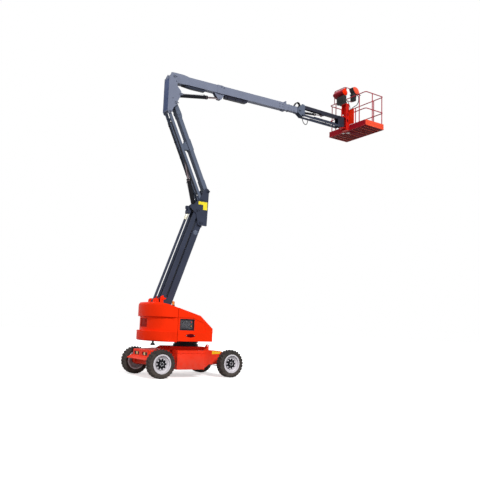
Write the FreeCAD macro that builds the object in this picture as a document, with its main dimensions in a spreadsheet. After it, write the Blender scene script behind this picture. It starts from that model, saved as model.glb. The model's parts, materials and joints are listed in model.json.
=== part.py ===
import FreeCAD, Part
import math
import os
import Sketcher

# An articulating boom lift on four wheels, with its two risers raised.
# +X is the way the boom points, +Y the machine's left and +Z up. The origin is on
# the ground under the slew axis. All lengths are millimetres and all angles degrees.

DOC = FreeCAD.newDocument("boom_lift")
SHEET = DOC.addObject("Spreadsheet::Sheet", "Sizes")
V = FreeCAD.Vector

# Driving sizes: name, value, what it is.
SIZES = (
    ("wheel_base", 2010, "distance between the axles"),
    ("slew_ahead", 80, "slew axis ahead of the middle of the wheel base"),
    ("track_width", 1536, "distance between the tyres' middle planes"),
    ("tyre_radius", 355, "out to the tread"),
    ("tyre_width", 236, "over the side walls"),
    ("bead_radius", 228, "inner radius of the tyre"),
    ("rim_barrel", 200, "inner radius of the rim's barrel"),
    ("rim_wall", 10, "plate of the rim"),
    ("hub_radius", 84, "wheel hub"),
    ("hub_out", 82, "hub's end outside the wheel's middle plane"),
    ("hub_in", 60, "hub's end inside the wheel's middle plane"),
    ("lug_circle", 116, "radius of the circle of wheel lugs"),
    ("lug_count", 9, "wheel lugs"),
    ("running_gap", 0.3, "clearance of a pin in its bore and of seats that turn"),
    ("spindle_radius", 38, "stub that carries a hub"),
    ("drum_radius", 98, "brake and motor drum inside the rim"),
    ("axle_half", 62, "half length of the axle beam along X"),
    ("axle_top", 430, "top of the axle beams"),
    ("axle_depth", 140, "height of the axle beams"),
    ("king_side", 600, "king pin from the middle plane"),
    ("king_radius", 22, "king pin"),
    ("king_boss", 46, "boss round the king pin"),
    ("steer_arm", 150, "king pin to tie rod pin"),
    ("frame_top", 760, "top of the chassis under the slew ring"),
    ("frame_bottom", 230, "underside of the centre frame"),
    ("frame_half", 370, "half width of the centre frame"),
    ("frame_front", 520, "front end of the centre frame"),
    ("frame_rear", -700, "rear end of the centre frame"),
    ("frame_wall", 12, "plate of the chassis"),
    ("nose_half", 300, "half width of the front frame"),
    ("nose_front", 1090, "front end of the front frame"),
    ("tail_half", 450, "half width of the rear frame"),
    ("tail_rear", -1280, "rear face of the rear frame"),
    ("tail_top", 665, "top of the rear frame's rear face"),
    ("box_front", 170, "front end of the battery boxes"),
    ("box_rear", -620, "rear end of the battery boxes"),
    ("box_side", 745, "outer face of the battery boxes"),
    ("box_bottom", 210, "underside of the battery boxes"),
    ("box_top", 680, "top of the battery boxes"),
    ("box_wall", 5, "sheet of the battery boxes"),
    ("ring_radius", 334, "slew ring"),
    ("deck_bottom", 910, "underside of the turntable"),
    ("deck_wall", 25, "turntable base plate"),
    ("cover_half", 850, "half width over the covers"),
    ("cover_wall", 16, "moulded covers with their ribs"),
    ("cover_front", 310, "vertical nose of the covers"),
    ("nose_top", 1240, "top of the vertical nose"),
    ("ridge_x", -60, "where the two top slopes meet"),
    ("ridge_z", 1560, "height of that ridge"),
    ("seam_x", -700, "seam between side covers and rear hood"),
    ("seam_top", 1740, "top of the covers at the seam"),
    ("seam_gap", 12, "gap at the seam"),
    ("hood_rear", -1320, "rear of the counterweight"),
    ("hood_top", 1870, "top of the rear hood"),
    ("band_low", 1180, "top of the lower band"),
    ("band_high", 1500, "underside of the upper band"),
    ("band_corner", 480, "plan radius of the rear corners"),
    ("slot_half", 200, "half width of the slot between the covers"),
    ("plate_gap", 256, "between the side plates of every knuckle"),
    ("plate_wall", 20, "side plates of the knuckles"),
    ("foot_x", -690, "lower arm's foot pin"),
    ("foot_z", 1645, "lower arm's foot pin"),
    ("lower_length", 2605, "lower arm, pin to pin"),
    ("lower_angle", 70.2, "lower arm's elevation at rest"),
    ("lower_depth", 180, "lower arm's section in the boom plane"),
    ("lower_width", 184, "lower arm's section across"),
    ("tube_wall", 6, "wall of the arm tubes"),
    ("pin_radius", 28, "main pins"),
    ("link_x", -110, "lower link's pins from the lower arm's"),
    ("link_z", 330, "lower link's pins from the lower arm's"),
    ("link_depth", 120, "lower link bars in the boom plane"),
    ("link_inner", 82, "inner face of the link bars"),
    ("link_bar", 40, "link bar's width"),
    ("rod_x", -320, "rear rod's pins from the lower arm's"),
    ("rod_z", 255, "rear rod's pins from the lower arm's"),
    ("rod_radius", 34, "rear rod"),
    ("knuckle_x", 188, "upper arm's foot pin from the lower arm's head pin"),
    ("knuckle_z", 904, "upper arm's foot pin from the lower arm's head pin"),
    ("upper_link_x", -170, "upper link's pins from the upper arm's"),
    ("upper_link_z", -280, "upper link's pins from the upper arm's"),
    ("upper_link_depth", 78, "upper link bars in the boom plane"),
    ("upper_length", 2563, "upper arm, pin to pin"),
    ("upper_angle", 115.65, "upper arm's elevation at rest"),
    ("upper_depth", 112, "upper arm's section in the boom plane"),
    ("upper_width", 160, "upper arm's section across"),
    ("riser_eye_u", 1350, "riser cylinder's eye along the upper arm"),
    ("riser_eye_v", 196, "riser cylinder's eye behind the upper arm"),
    ("riser_bore", 58, "riser cylinder's barrel radius"),
    ("riser_barrel", 900, "riser cylinder's barrel from its base pin"),
    ("riser_rod", 28, "riser cylinder's rod radius"),
    ("riser_rod_length", 950, "riser cylinder's rod from its eye"),
    ("riser_lug", 38, "inner face of the riser cylinder's lugs"),
    ("boom_pivot_x", -90, "boom pivot from the upper arm's head pin"),
    ("boom_pivot_z", 735, "boom pivot from the upper arm's head pin"),
    ("boom_angle", 1.6, "boom's elevation at rest"),
    ("boom_length", 3920, "outer boom from its pivot"),
    ("boom_depth", 230, "outer boom's height"),
    ("boom_width", 170, "outer boom's width"),
    ("boom_drop", 20, "boom's centre line below its pivot"),
    ("lift_base_x", 130, "lift cylinder's base from the upper arm's head pin"),
    ("lift_base_z", 268, "lift cylinder's base from the upper arm's head pin"),
    ("lift_eye_u", 1515, "lift cylinder's eye along the boom"),
    ("lift_eye_v", 262, "lift cylinder's eye below the boom pivot's line"),
    ("lift_bore", 50, "lift cylinder's barrel radius"),
    ("lift_barrel", 930, "lift cylinder's barrel from its base pin"),
    ("lift_rod", 27, "lift cylinder's rod radius"),
    ("lift_rod_length", 1080, "lift cylinder's rod from its eye"),
    ("lift_lug", 36, "inner face of the lift cylinder's lugs"),
    ("small_pin", 20, "cylinder and jib pins"),
    ("fly_depth", 190, "inner boom's height"),
    ("fly_width", 130, "inner boom's width"),
    ("fly_tail", 420, "inner boom's tail from the boom pivot"),
    ("fly_reach", 450, "inner boom's tip from the outer boom's"),
    ("level_reach", 80, "levelling pin from the inner boom's tip"),
    ("level_v", -40, "levelling pin from the boom pivot's line"),
    ("jib_gap", 150, "between the side plates of the jib brackets"),
    ("jib_plate", 12, "side plates of the jib brackets"),
    ("jib_pin_x", 165, "jib's foot pin from the levelling pin"),
    ("jib_pin_z", 180, "jib's foot pin from the levelling pin"),
    ("jib_length", 1545, "jib, pin to pin"),
    ("jib_depth", 112, "jib's section in the boom plane"),
    ("jib_width", 100, "jib's section across"),
    ("jib_link_x", -20, "jib link's pins from the jib's"),
    ("jib_link_z", -305, "jib link's pins from the jib's"),
    ("jib_bar", 60, "jib link bars' height"),
    ("jib_base_x", 0, "jib cylinder's base from the jib's foot pin"),
    ("jib_base_z", -190, "jib cylinder's base from the jib's foot pin"),
    ("jib_eye_u", 850, "jib cylinder's eye along the jib"),
    ("jib_eye_v", 92, "jib cylinder's eye below the jib's line"),
    ("jib_bore", 33, "jib cylinder's barrel radius"),
    ("jib_barrel", 565, "jib cylinder's barrel from its base pin"),
    ("jib_rod", 17, "jib cylinder's rod radius"),
    ("jib_rod_length", 584, "jib cylinder's rod from its eye"),
    ("jib_wall", 5, "wall of the jib"),
    ("rotator_x", 170, "rotator's axis from the jib's head pin"),
    ("rotator_radius", 88, "rotator's housing"),
    ("platform_near", 240, "platform's boom side from the rotator's axis"),
    ("platform_depth", 850, "platform along X"),
    ("platform_width", 1750, "platform along Y"),
    ("floor_drop", 375.7, "underside of the platform below the jib's line"),
    ("floor_height", 35, "platform floor frame"),
    ("toe_height", 185, "toe boards from the underside"),
    ("toe_wall", 4, "toe board sheet"),
    ("mid_rail", 580, "middle rail from the underside"),
    ("top_rail", 1140, "top rail from the underside"),
    ("rail_radius", 16, "platform rails"),
    ("mast_half", 110, "half width of the platform's mast"),
    ("mast_near", 100, "mast's near face from the rotator's axis"),
    ("mast_height", 916, "top of the platform's mast from the underside"),
)


class Dim:
    """A size with the sheet formula that it comes from."""

    def __init__(self, value, text):
        self.value = float(value)
        self.text = text

    def __add__(self, other):
        return combine(self, other, "+", lambda a, b: a + b)

    def __radd__(self, other):
        return combine(other, self, "+", lambda a, b: a + b)

    def __sub__(self, other):
        return combine(self, other, "-", lambda a, b: a - b)

    def __rsub__(self, other):
        return combine(other, self, "-", lambda a, b: a - b)

    def __mul__(self, other):
        return combine(self, other, "*", lambda a, b: a * b)

    def __rmul__(self, other):
        return combine(other, self, "*", lambda a, b: a * b)

    def __truediv__(self, other):
        return combine(self, other, "/", lambda a, b: a / b)

    def __neg__(self):
        return combine(0, self, "-", lambda a, b: a - b)


def value(size):
    return size.value if isinstance(size, Dim) else float(size)


def formula(size):
    if isinstance(size, Dim):
        return size.text
    return "(%s)" % repr(float(size)) if float(size) < 0 else repr(float(size))


def combine(first, second, sign, work):
    text = "(%s %s %s)" % (formula(first), sign, formula(second))
    return Dim(work(value(first), value(second)), text)


def cosine(angle):
    return Dim(math.cos(math.radians(value(angle))), "cos(%s)" % formula(angle))


def sine(angle):
    return Dim(math.sin(math.radians(value(angle))), "sin(%s)" % formula(angle))


class Sizes:
    """The driving sizes by name."""


for row, (name, number, meaning) in enumerate(SIZES, start=2):
    SHEET.set("A%d" % row, name)
    SHEET.set("B%d" % row, str(number))
    SHEET.set("C%d" % row, meaning)
    SHEET.setAlias("B%d" % row, name)
    setattr(Sizes, name, Dim(number, "Sizes." + name))
DOC.recompute()
S = Sizes

nodes = {}


# Building helpers

def bind(thing, prop, size):
    """Tie a property to its sheet formula."""
    if isinstance(size, Dim):
        thing.setExpression(prop, size.text)


def put(thing, x=0, y=0, z=0, axis=None, angle=0):
    """Place a piece, turned by an angle about an axis, with its formulas."""
    turn = FreeCAD.Rotation()
    if axis is not None:
        turn = FreeCAD.Rotation(V(*axis), value(angle))
    thing.Placement = FreeCAD.Placement(V(value(x), value(y), value(z)), turn)
    bind(thing, "Placement.Base.x", x)
    bind(thing, "Placement.Base.y", y)
    bind(thing, "Placement.Base.z", z)
    if axis is not None:
        bind(thing, "Placement.Rotation.Angle", angle)
    return thing


def block(name, x, y, z):
    """A box between two values on each axis."""
    box = DOC.addObject("Part::Box", name)
    for prop, (low, high) in (("Length", x), ("Width", y), ("Height", z)):
        setattr(box, prop, value(high) - value(low))
        bind(box, prop, combine(high, low, "-", lambda a, b: a - b))
    return put(box, x[0], y[0], z[0])


TURNS = {"X": ((0, 1, 0), 90), "Y": ((1, 0, 0), -90), "Z": (None, 0)}


def drum(name, along, at, radius, length):
    """A cylinder from a point along an axis."""
    piece = DOC.addObject("Part::Cylinder", name)
    piece.Radius = value(radius)
    piece.Height = value(length)
    bind(piece, "Radius", radius)
    bind(piece, "Height", length)
    axis, angle = TURNS[along]
    return put(piece, at[0], at[1], at[2], axis, angle)


def pin(name, x, z, radius, half):
    """A cylinder across the machine, as long on both sides of the middle."""
    return drum(name, "Y", (x, -half, z), radius, half * 2)


def ring(name, x, z, radius, near, far):
    """A cylinder across the machine from one Y value to another."""
    return drum(name, "Y", (x, near, z), radius, combine(far, near, "-", lambda a, b: a - b))


def fuse(name, pieces):
    joined = DOC.addObject("Part::MultiFuse", name)
    joined.Shapes = pieces
    joined.Refine = True
    return joined


def cut(name, base, tools):
    tool = tools[0]
    if len(tools) > 1:
        tool = fuse(name + "_tools", tools)
        tool.Refine = False
    result = DOC.addObject("Part::Cut", name)
    result.Base = base
    result.Tool = tool
    result.Refine = True
    return result


def common(name, first, second):
    result = DOC.addObject("Part::MultiCommon", name)
    result.Shapes = [first, second]
    return result


def outline(sketch, corners):
    """A closed loop of straight lines through the corners, each tied to its formulas."""
    places = [V(value(corner[0]), value(corner[1]), 0) for corner in corners]
    count = len(corners)
    runs = [Part.LineSegment(places[i], places[(i + 1) % count]) for i in range(count)]
    lines = sketch.addGeometry(runs, False)
    rules = []
    ties = []
    first = sketch.ConstraintCount
    for i in range(count):
        rules.append(Sketcher.Constraint("Coincident", lines[i - 1], 2, lines[i], 1))
        for kind, size, at in (("DistanceX", corners[i][0], places[i].x),
                               ("DistanceY", corners[i][1], places[i].y)):
            ties.append((first + len(rules), size))
            rules.append(Sketcher.Constraint(kind, -1, 1, lines[i], 1, at))
    sketch.addConstraint(rules)
    for number, size in ties:
        bind(sketch, "Constraints[%d]" % number, size)


def round_corners(body, last, loops, edge_at):
    """One fillet for each radius, on the edges that stand on the loops' corners."""
    radii = []
    for corners in loops:
        for corner in corners:
            if value(corner[2]) and value(corner[2]) not in radii:
                radii.append(value(corner[2]))
    for number, radius in enumerate(sorted(radii, reverse=True)):
        last.recompute()
        names = []
        for corners in loops:
            for corner in corners:
                if value(corner[2]) == radius:
                    names += [name for name, spot in edge_at(last.Shape)
                              if abs(spot[0] - value(corner[0])) < 1e-3
                              and abs(spot[1] - value(corner[1])) < 1e-3]
        fillet = body.newObject("PartDesign::Fillet", "%s_round%d" % (body.Name, number))
        fillet.Base = (last, names)
        fillet.Radius = radius
        for corners in loops:
            for corner in corners:
                if value(corner[2]) == radius:
                    bind(fillet, "Radius", corner[2])
        last = fillet


def new_sketch(body, name, plane, offset=0):
    sketch = body.newObject("Sketcher::SketchObject", name)
    base = [item for item in body.Origin.OriginFeatures if item.Role == plane + "_Plane"]
    sketch.AttachmentSupport = [(base[0], "")]
    sketch.MapMode = "FlatFace"
    sketch.AttachmentOffset = FreeCAD.Placement(V(0, 0, value(offset)), FreeCAD.Rotation())
    bind(sketch, "AttachmentOffset.Base.z", offset)
    return sketch


def prism(name, plane, loops, span):
    """A pad of one or more loops on XY, XZ or YZ, between two values on the third axis."""
    body = DOC.addObject("PartDesign::Body", name)
    low, high = span
    offset = -high if plane == "XZ" else low
    sketch = new_sketch(body, name + "_sketch", plane, offset)
    for corners in loops:
        outline(sketch, corners)
    sketch.recompute()
    pad = body.newObject("PartDesign::Pad", name + "_pad")
    pad.Profile = sketch
    length = combine(high, low, "-", lambda a, b: a - b)
    pad.Length = value(length)
    bind(pad, "Length", length)
    axes = {"XY": (0, 1, 2), "XZ": (0, 2, 1), "YZ": (1, 2, 0)}[plane]

    def standing(shape):
        found = []
        for i, edge in enumerate(shape.Edges, start=1):
            start, stop = edge.Vertexes[0].Point, edge.Vertexes[-1].Point
            if abs(abs(start[axes[2]] - stop[axes[2]]) - value(length)) < 1e-3:
                if abs(edge.Length - value(length)) < 1e-3:
                    found.append(("Edge%d" % i, (start[axes[0]], start[axes[1]])))
        return found

    round_corners(body, pad, loops, standing)
    return body


def turned(name, plane, axis, corners):
    """A revolved profile: on YZ about Y (H) or on XZ about Z (V)."""
    body = DOC.addObject("PartDesign::Body", name)
    sketch = new_sketch(body, name + "_sketch", plane)
    outline(sketch, corners)
    sketch.recompute()
    spin = body.newObject("PartDesign::Revolution", name + "_turn")
    spin.Profile = sketch
    spin.ReferenceAxis = (sketch, [axis])
    spin.Angle = 360

    def rings(shape):
        found = []
        for i, edge in enumerate(shape.Edges, start=1):
            if isinstance(edge.Curve, Part.Circle):
                centre, reach = edge.Curve.Center, edge.Curve.Radius
                spot = (centre.y, reach) if axis == "H_Axis" else (reach, centre.z)
                found.append(("Edge%d" % i, spot))
        return found

    round_corners(body, spin, [corners], rings)
    return body


def bent_path(points, bend):
    """Straight runs joined by tangent arcs through the given corner points."""
    places = [V(*[value(c) for c in point]) for point in points]
    edges = []
    last = places[0]
    for i in range(1, len(places) - 1):
        before = (places[i - 1] - places[i]).normalize()
        after = (places[i + 1] - places[i]).normalize()
        half = before.getAngle(after) / 2
        reach = bend / math.tan(half)
        centre = places[i] + (before + after).normalize() * (bend / math.sin(half))
        start, stop = places[i] + before * reach, places[i] + after * reach
        middle = centre + (places[i] - centre).normalize() * bend
        edges.append(Part.LineSegment(last, start).toShape())
        edges.append(Part.Arc(start, middle, stop).toShape())
        last = stop
    edges.append(Part.LineSegment(last, places[-1]).toShape())
    return Part.Wire(edges)


def pipe_shape(points, radius, bend):
    path = bent_path(points, bend)
    start = path.Vertexes[0].Point
    direction = (path.Edges[0].Vertexes[1].Point - start).normalize()
    circle = Part.Wire(Part.makeCircle(value(radius), start, direction))
    return path.makePipeShell([circle], True, False)


def shape_feature(name, shape):
    feature = DOC.addObject("Part::Feature", name)
    feature.Shape = shape
    return feature


def node(label, thing):
    """Name a finished piece of the machine."""
    thing.Label = label
    nodes[label] = thing
    return thing


SIDES = (("left", 1), ("right", -1))


def mirrored(sign, near, far):
    """A span on the left side, or its mirror image."""
    return (near, far) if sign > 0 else (-far, -near)



GAP = S.running_gap
PLATE_IN = S.plate_gap / 2
PLATE_OUT = PLATE_IN + S.plate_wall
BOSS_HALF = PLATE_IN - GAP
BORE = S.pin_radius + GAP
SMALL_BORE = S.small_pin + GAP
REAR_X = -(S.wheel_base / 2) - S.slew_ahead
FRONT_X = S.wheel_base / 2 - S.slew_ahead
WHEEL_Y = S.track_width / 2


# Wheels

def make_tyre(name):
    half = S.tyre_width / 2
    return turned(name, "YZ", "H_Axis", (
        (-half + 24, S.bead_radius, 0),
        (-half + 24, S.bead_radius + 14, 0),
        (-half, S.bead_radius + 55, 20),
        (-half + 6, S.tyre_radius - 20, 0),
        (-half + 24, S.tyre_radius, 0),
        (half - 24, S.tyre_radius, 0),
        (half - 6, S.tyre_radius - 20, 0),
        (half, S.bead_radius + 55, 20),
        (half - 24, S.bead_radius + 14, 0),
        (half - 24, S.bead_radius, 0),
    ))


def make_rim(name):
    half = S.tyre_width / 2
    seat = S.bead_radius - GAP
    flange = S.bead_radius + 9
    barrel = S.rim_barrel
    wall = S.rim_wall
    dish = turned(name + "_dish", "YZ", "H_Axis", (
        (-half + 12, barrel + 6, 0),
        (-half + 12, flange, 0),
        (-half + 23, flange, 0),
        (-half + 23, seat, 0),
        (half - 23, seat, 0),
        (half - 23, flange, 0),
        (half - 12, flange, 0),
        (half - 12, barrel + 6, 0),
        (half - 50, barrel, 0),
        (half - 72, barrel - 34, 8),
        (half - 82, barrel - 40, 0),
        (half - 92, S.lug_circle + 26, 0),
        (half - 92, S.hub_radius - 8, 0),
        (half - 92 - wall, S.hub_radius - 8, 0),
        (half - 92 - wall, S.lug_circle + 30, 0),
        (half - 82 - wall, barrel - 32, 0),
        (half - 72 - wall, barrel - 8, 0),
        (-half + 50, barrel, 0),
    ))
    return dish


def make_hub(name):
    half = S.tyre_width / 2
    face = half - 92
    wall = S.rim_wall
    core = turned(name + "_core", "YZ", "H_Axis", (
        (-S.hub_in, S.spindle_radius + GAP, 0),
        (-S.hub_in, S.hub_radius - 10, 0),
        (face - wall - GAP, S.hub_radius - 10, 0),
        (face - wall - GAP, S.hub_radius - 8 - GAP, 0),
        (face, S.hub_radius - 8 - GAP, 0),
        (face, S.lug_circle + 22, 0),
        (face + 12, S.lug_circle + 22, 0),
        (face + 16, S.hub_radius, 0),
        (S.hub_out - 14, S.hub_radius - 8, 0),
        (S.hub_out, S.hub_radius - 24, 0),
        (S.hub_out, 0, 0),
        (S.hub_out - 30, 0, 0),
        (S.hub_out - 30, S.spindle_radius + GAP, 0),
    ))
    lugs = [core]
    count = int(value(S.lug_count))
    for i in range(count):
        angle = 360.0 * i / count
        x = S.lug_circle * math.cos(math.radians(angle))
        z = S.lug_circle * math.sin(math.radians(angle))
        lugs.append(drum("%s_lug%d" % (name, i), "Y", (x, face + 6, z), 15, 26))
    return fuse(name, lugs)


for end, wheel_x in (("front", FRONT_X), ("rear", REAR_X)):
    for side, sign in SIDES:
        place = "%s_%s" % (end, side)
        for kind, maker in (("tyre", make_tyre), ("rim", make_rim), ("hub", make_hub)):
            piece = maker("%s_%s" % (kind, place))
            put(piece, wheel_x, WHEEL_Y * sign, S.tyre_radius, (0, 0, 1), 0 if sign > 0 else 180)
            node("%s_%s" % (kind, place), piece)


# Axles, steering knuckles and tie rod

AXLE_LOW = S.axle_top - S.axle_depth
DRUM_END = WHEEL_Y - S.hub_in - 5
SPINDLE_END = WHEEL_Y + S.hub_out - 34


def spindle(name, x, start):
    """The drum and the stub that carry one hub, pointing along +Y."""
    return [
        drum(name + "_drum", "Y", (x, start, S.tyre_radius), S.drum_radius, DRUM_END - start),
        drum(name + "_stub", "Y", (x, DRUM_END - 1, S.tyre_radius),
             S.spindle_radius, SPINDLE_END - DRUM_END + 1),
    ]


rear_pieces = [
    block("rear_beam", (REAR_X - S.axle_half, REAR_X + S.axle_half),
          (-(WHEEL_Y - 230), WHEEL_Y - 230), (AXLE_LOW, S.axle_top)),
]
for side, sign in SIDES:
    carrier = fuse("rear_spindle_" + side, spindle("rear_" + side, 0, WHEEL_Y - 230))
    put(carrier, REAR_X, 0, 0, (0, 0, 1), 0 if sign > 0 else 180)
    rear_pieces.append(carrier)
node("rear_axle", fuse("rear_axle", rear_pieces))

KING_LOW = S.tyre_radius - 75
KING_HIGH = S.tyre_radius + 75
front_pieces = [
    block("front_beam", (FRONT_X - S.axle_half, FRONT_X + S.axle_half),
          (-(S.king_side - 80), S.king_side - 80), (AXLE_LOW, S.axle_top)),
]
for side, sign in SIDES:
    fork = []
    for level, low in (("top", KING_HIGH), ("foot", KING_LOW - 25)):
        lug_end = S.king_side
        fork.append(block("fork_%s_%s" % (level, side), (-S.king_boss, S.king_boss),
                          (S.king_side - 130, lug_end), (low, low + 25)))
        fork.append(drum("fork_end_%s_%s" % (level, side), "Z", (0, lug_end, low),
                         S.king_boss, 25))
    fork.append(block("fork_back_" + side, (-S.king_boss, S.king_boss),
                      (S.king_side - 130, S.king_side - 80), (KING_LOW - 25, KING_HIGH + 25)))
    fork.append(drum("king_pin_" + side, "Z", (0, S.king_side, KING_LOW - 30),
                     S.king_radius, KING_HIGH - KING_LOW + 60))
    yoke = fuse("fork_" + side, fork)
    put(yoke, FRONT_X, 0, 0, (0, 0, 1), 0 if sign > 0 else 180)
    front_pieces.append(yoke)
node("front_axle", fuse("front_axle", front_pieces))

ARM_LOW = KING_LOW + 5
for side, sign in SIDES:
    name = "steering_knuckle_" + side
    pieces = [
        drum(name + "_boss", "Z", (0, S.king_side, KING_LOW + GAP),
             S.king_boss, KING_HIGH - KING_LOW - GAP * 2),
        block(name + "_neck", (-44, 44), (S.king_side, S.king_side + 70),
              (S.tyre_radius - 60, S.tyre_radius + 60)),
    ]
    pieces += spindle(name, 0, S.king_side + 60)
    arm_x = -S.steer_arm if sign > 0 else S.steer_arm
    near, far = (arm_x, 0) if sign > 0 else (0, arm_x)
    pieces.append(block(name + "_arm", (near, far), (S.king_side - 20, S.king_side + 20),
                        (ARM_LOW, ARM_LOW + 18)))
    pieces.append(drum(name + "_eye", "Z", (arm_x, S.king_side, ARM_LOW), 26, 18))
    pieces.append(drum(name + "_tie_pin", "Z", (arm_x, S.king_side, ARM_LOW - 26), 9, 30))
    solid = fuse(name + "_solid", pieces)
    bore = drum(name + "_bore", "Z", (0, S.king_side, KING_LOW - 5),
                S.king_radius + GAP, KING_HIGH - KING_LOW + 10)
    knuckle_piece = cut(name, solid, [bore])
    put(knuckle_piece, FRONT_X, 0, 0, (0, 0, 1), 0 if sign > 0 else 180)
    node(name, knuckle_piece)

TIE_X = FRONT_X - S.steer_arm
tie_z = ARM_LOW - 23
tie_pieces = [drum("tie_bar", "Y", (TIE_X, -S.king_side, tie_z + 11), 10, S.king_side * 2)]
tie_bores = []
for side, sign in SIDES:
    at = (TIE_X, S.king_side * sign, tie_z)
    tie_pieces.append(drum("tie_eye_" + side, "Z", at, 20, 22.7))
    tie_bores.append(drum("tie_bore_" + side, "Z", (at[0], at[1], tie_z - 5), 9 + GAP, 40))
node("tie_rod", cut("tie_rod", fuse("tie_solid", tie_pieces), tie_bores))


# Chassis

W = S.frame_wall
centre_outer = prism("centre_outer", "XZ", [(
    (S.frame_rear, S.frame_bottom + 90, 0),
    (S.frame_rear, S.frame_top - 70, 0),
    (S.frame_rear + 130, S.frame_top, 0),
    (S.frame_front - 110, S.frame_top, 0),
    (S.frame_front, S.frame_top - 90, 0),
    (S.frame_front, S.frame_bottom + 70, 0),
    (S.frame_front - 90, S.frame_bottom, 0),
    (S.frame_rear + 110, S.frame_bottom, 0),
)], (-S.frame_half, S.frame_half))
centre_inner = prism("centre_inner", "XZ", [(
    (S.frame_rear + W, S.frame_bottom - 20, 0),
    (S.frame_rear + W, S.frame_top - 76, 0),
    (S.frame_rear + 134, S.frame_top - W, 0),
    (S.frame_front - 114, S.frame_top - W, 0),
    (S.frame_front - W, S.frame_top - 96, 0),
    (S.frame_front - W, S.frame_bottom - 20, 0),
)], (-S.frame_half + W, S.frame_half - W))
nose_outer = prism("nose_outer", "XZ", [(
    (S.frame_front - 5, 300, 0),
    (S.frame_front - 5, S.frame_top - 95, 0),
    (S.nose_front - 190, 650, 0),
    (S.nose_front, 600, 40),
    (S.nose_front, 330, 40),
    (S.nose_front - 60, 300, 0),
    (FRONT_X + S.axle_half + 8, 300, 0),
    (FRONT_X + S.axle_half + 8, S.axle_top, 0),
    (FRONT_X - S.axle_half - 8, S.axle_top, 0),
    (FRONT_X - S.axle_half - 8, 300, 0),
)], (-S.nose_half, S.nose_half))
nose_inner = prism("nose_inner", "XZ", [(
    (S.frame_front - 60, 290, 0),
    (S.frame_front - 60, S.frame_top - 107, 0),
    (S.nose_front - 192, 650 - W, 0),
    (S.nose_front - W, 592, 28),
    (S.nose_front - W, S.axle_top + W, 0),
    (FRONT_X - S.axle_half - 20, S.axle_top + W, 0),
    (FRONT_X - S.axle_half - 20, 290, 0),
)], (-S.nose_half + W, S.nose_half - W))
tail_outer = prism("tail_outer", "XZ", [(
    (S.tail_rear, 500, 0),
    (S.tail_rear, S.tail_top, 25),
    (S.frame_rear + 5, S.frame_top - 66, 0),
    (S.frame_rear + 5, S.axle_top, 0),
    (S.tail_rear + 70, S.axle_top, 0),
)], (-S.tail_half, S.tail_half))
tail_inner = prism("tail_inner", "XZ", [(
    (S.tail_rear + W, 506, 0),
    (S.tail_rear + W, S.tail_top - W, 13),
    (S.frame_rear + 60, S.frame_top - 66 - W, 0),
    (S.frame_rear + 60, S.axle_top + W, 0),
    (S.tail_rear + 74, S.axle_top + W, 0),
)], (-S.tail_half + W, S.tail_half - W))
tail_lip = prism("tail_lip", "XZ", [(
    (S.tail_rear - 120, 430, 0),
    (S.tail_rear - 116, 442, 0),
    (S.tail_rear, 512, 0),
    (S.tail_rear + 16, 512, 0),
    (S.tail_rear + 16, 500, 0),
    (S.tail_rear, 500, 0),
)], (-(S.tail_half + 120), S.tail_half + 120))
lamp_slots = []
for side, sign in SIDES:
    near, far = (90, 390) if sign > 0 else (-390, -90)
    lamp_slots.append(block("lamp_slot_" + side, (S.tail_rear - 20, S.tail_rear + W + 20),
                            (near, far), (525, 610)))
tie_downs = []
for side, sign in SIDES:
    lug = prism("tie_down_" + side, "XZ", [(
        (240, 330, 0),
        (240, 640, 0),
        (340, 830, 36),
        (410, 830, 36),
        (410, 560, 0),
        (360, 330, 0),
    )], (500, 524) if sign > 0 else (-524, -500))
    eye = ring("tie_down_eye_" + side, 374, 792, 16, -600, 600)
    web_span = (S.frame_half - 5, 505) if sign > 0 else (-505, -(S.frame_half - 5))
    web = block("tie_down_web_" + side, (250, 274), web_span, (340, 600))
    tie_downs.append(cut("tie_down_lug_" + side, lug, [eye]))
    tie_downs.append(web)
frame_solid = fuse("frame_solid", [centre_outer, nose_outer, tail_outer, tail_lip] + tie_downs)
frame_hollow = fuse("frame_hollow", [centre_inner, nose_inner, tail_inner])
node("chassis_frame", cut("chassis_frame", frame_solid, [frame_hollow] + lamp_slots))

for side, sign in SIDES:
    low = S.frame_half
    name = "battery_box_" + side
    shell = fuse(name + "_outer", [
        block(name + "_case", (S.box_rear, S.box_front), (low, S.box_side),
              (S.box_bottom, S.box_top - 70)),
        block(name + "_lid", (S.box_rear - 4, S.box_front + 4), (low, S.box_side + 7),
              (S.box_top - 70, S.box_top)),
    ])
    inner = block(name + "_inner", (S.box_rear + S.box_wall, S.box_front - S.box_wall),
                  (low + S.box_wall, S.box_side - S.box_wall),
                  (S.box_bottom + S.box_wall, S.box_top - S.box_wall))
    piece = cut(name, shell, [inner])
    if sign < 0:
        mirror = DOC.addObject("Part::Mirroring", name + "_mirror")
        mirror.Source = piece
        mirror.Normal = V(0, 1, 0)
        piece = mirror
    node(name, piece)
pack_blocks = []
for side, sign in SIDES:
    low, high = S.frame_half + S.box_wall, S.box_side - S.box_wall - 30
    span = (low, high) if sign > 0 else (-high, -low)
    pack_blocks.append(block("cells_" + side, (S.box_rear + 60, S.box_front - 60), span,
                             (S.box_bottom + S.box_wall, S.box_top - 150)))
packs = DOC.addObject("Part::Compound", "battery_packs")
packs.Links = pack_blocks
node("battery_packs", packs)

node("slew_ring", turned("slew_ring", "XZ", "V_Axis", (
    (S.ring_radius - 110, S.frame_top, 0),
    (S.ring_radius, S.frame_top, 0),
    (S.ring_radius, S.frame_top + 50, 0),
    (S.ring_radius - 30, S.frame_top + 56, 0),
    (S.ring_radius - 30, S.frame_top + 90, 0),
    (S.ring_radius - 6, S.frame_top + 96, 0),
    (S.ring_radius - 6, S.deck_bottom - GAP, 0),
    (S.ring_radius - 110, S.deck_bottom - GAP, 0),
)))


# Turntable

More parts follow.
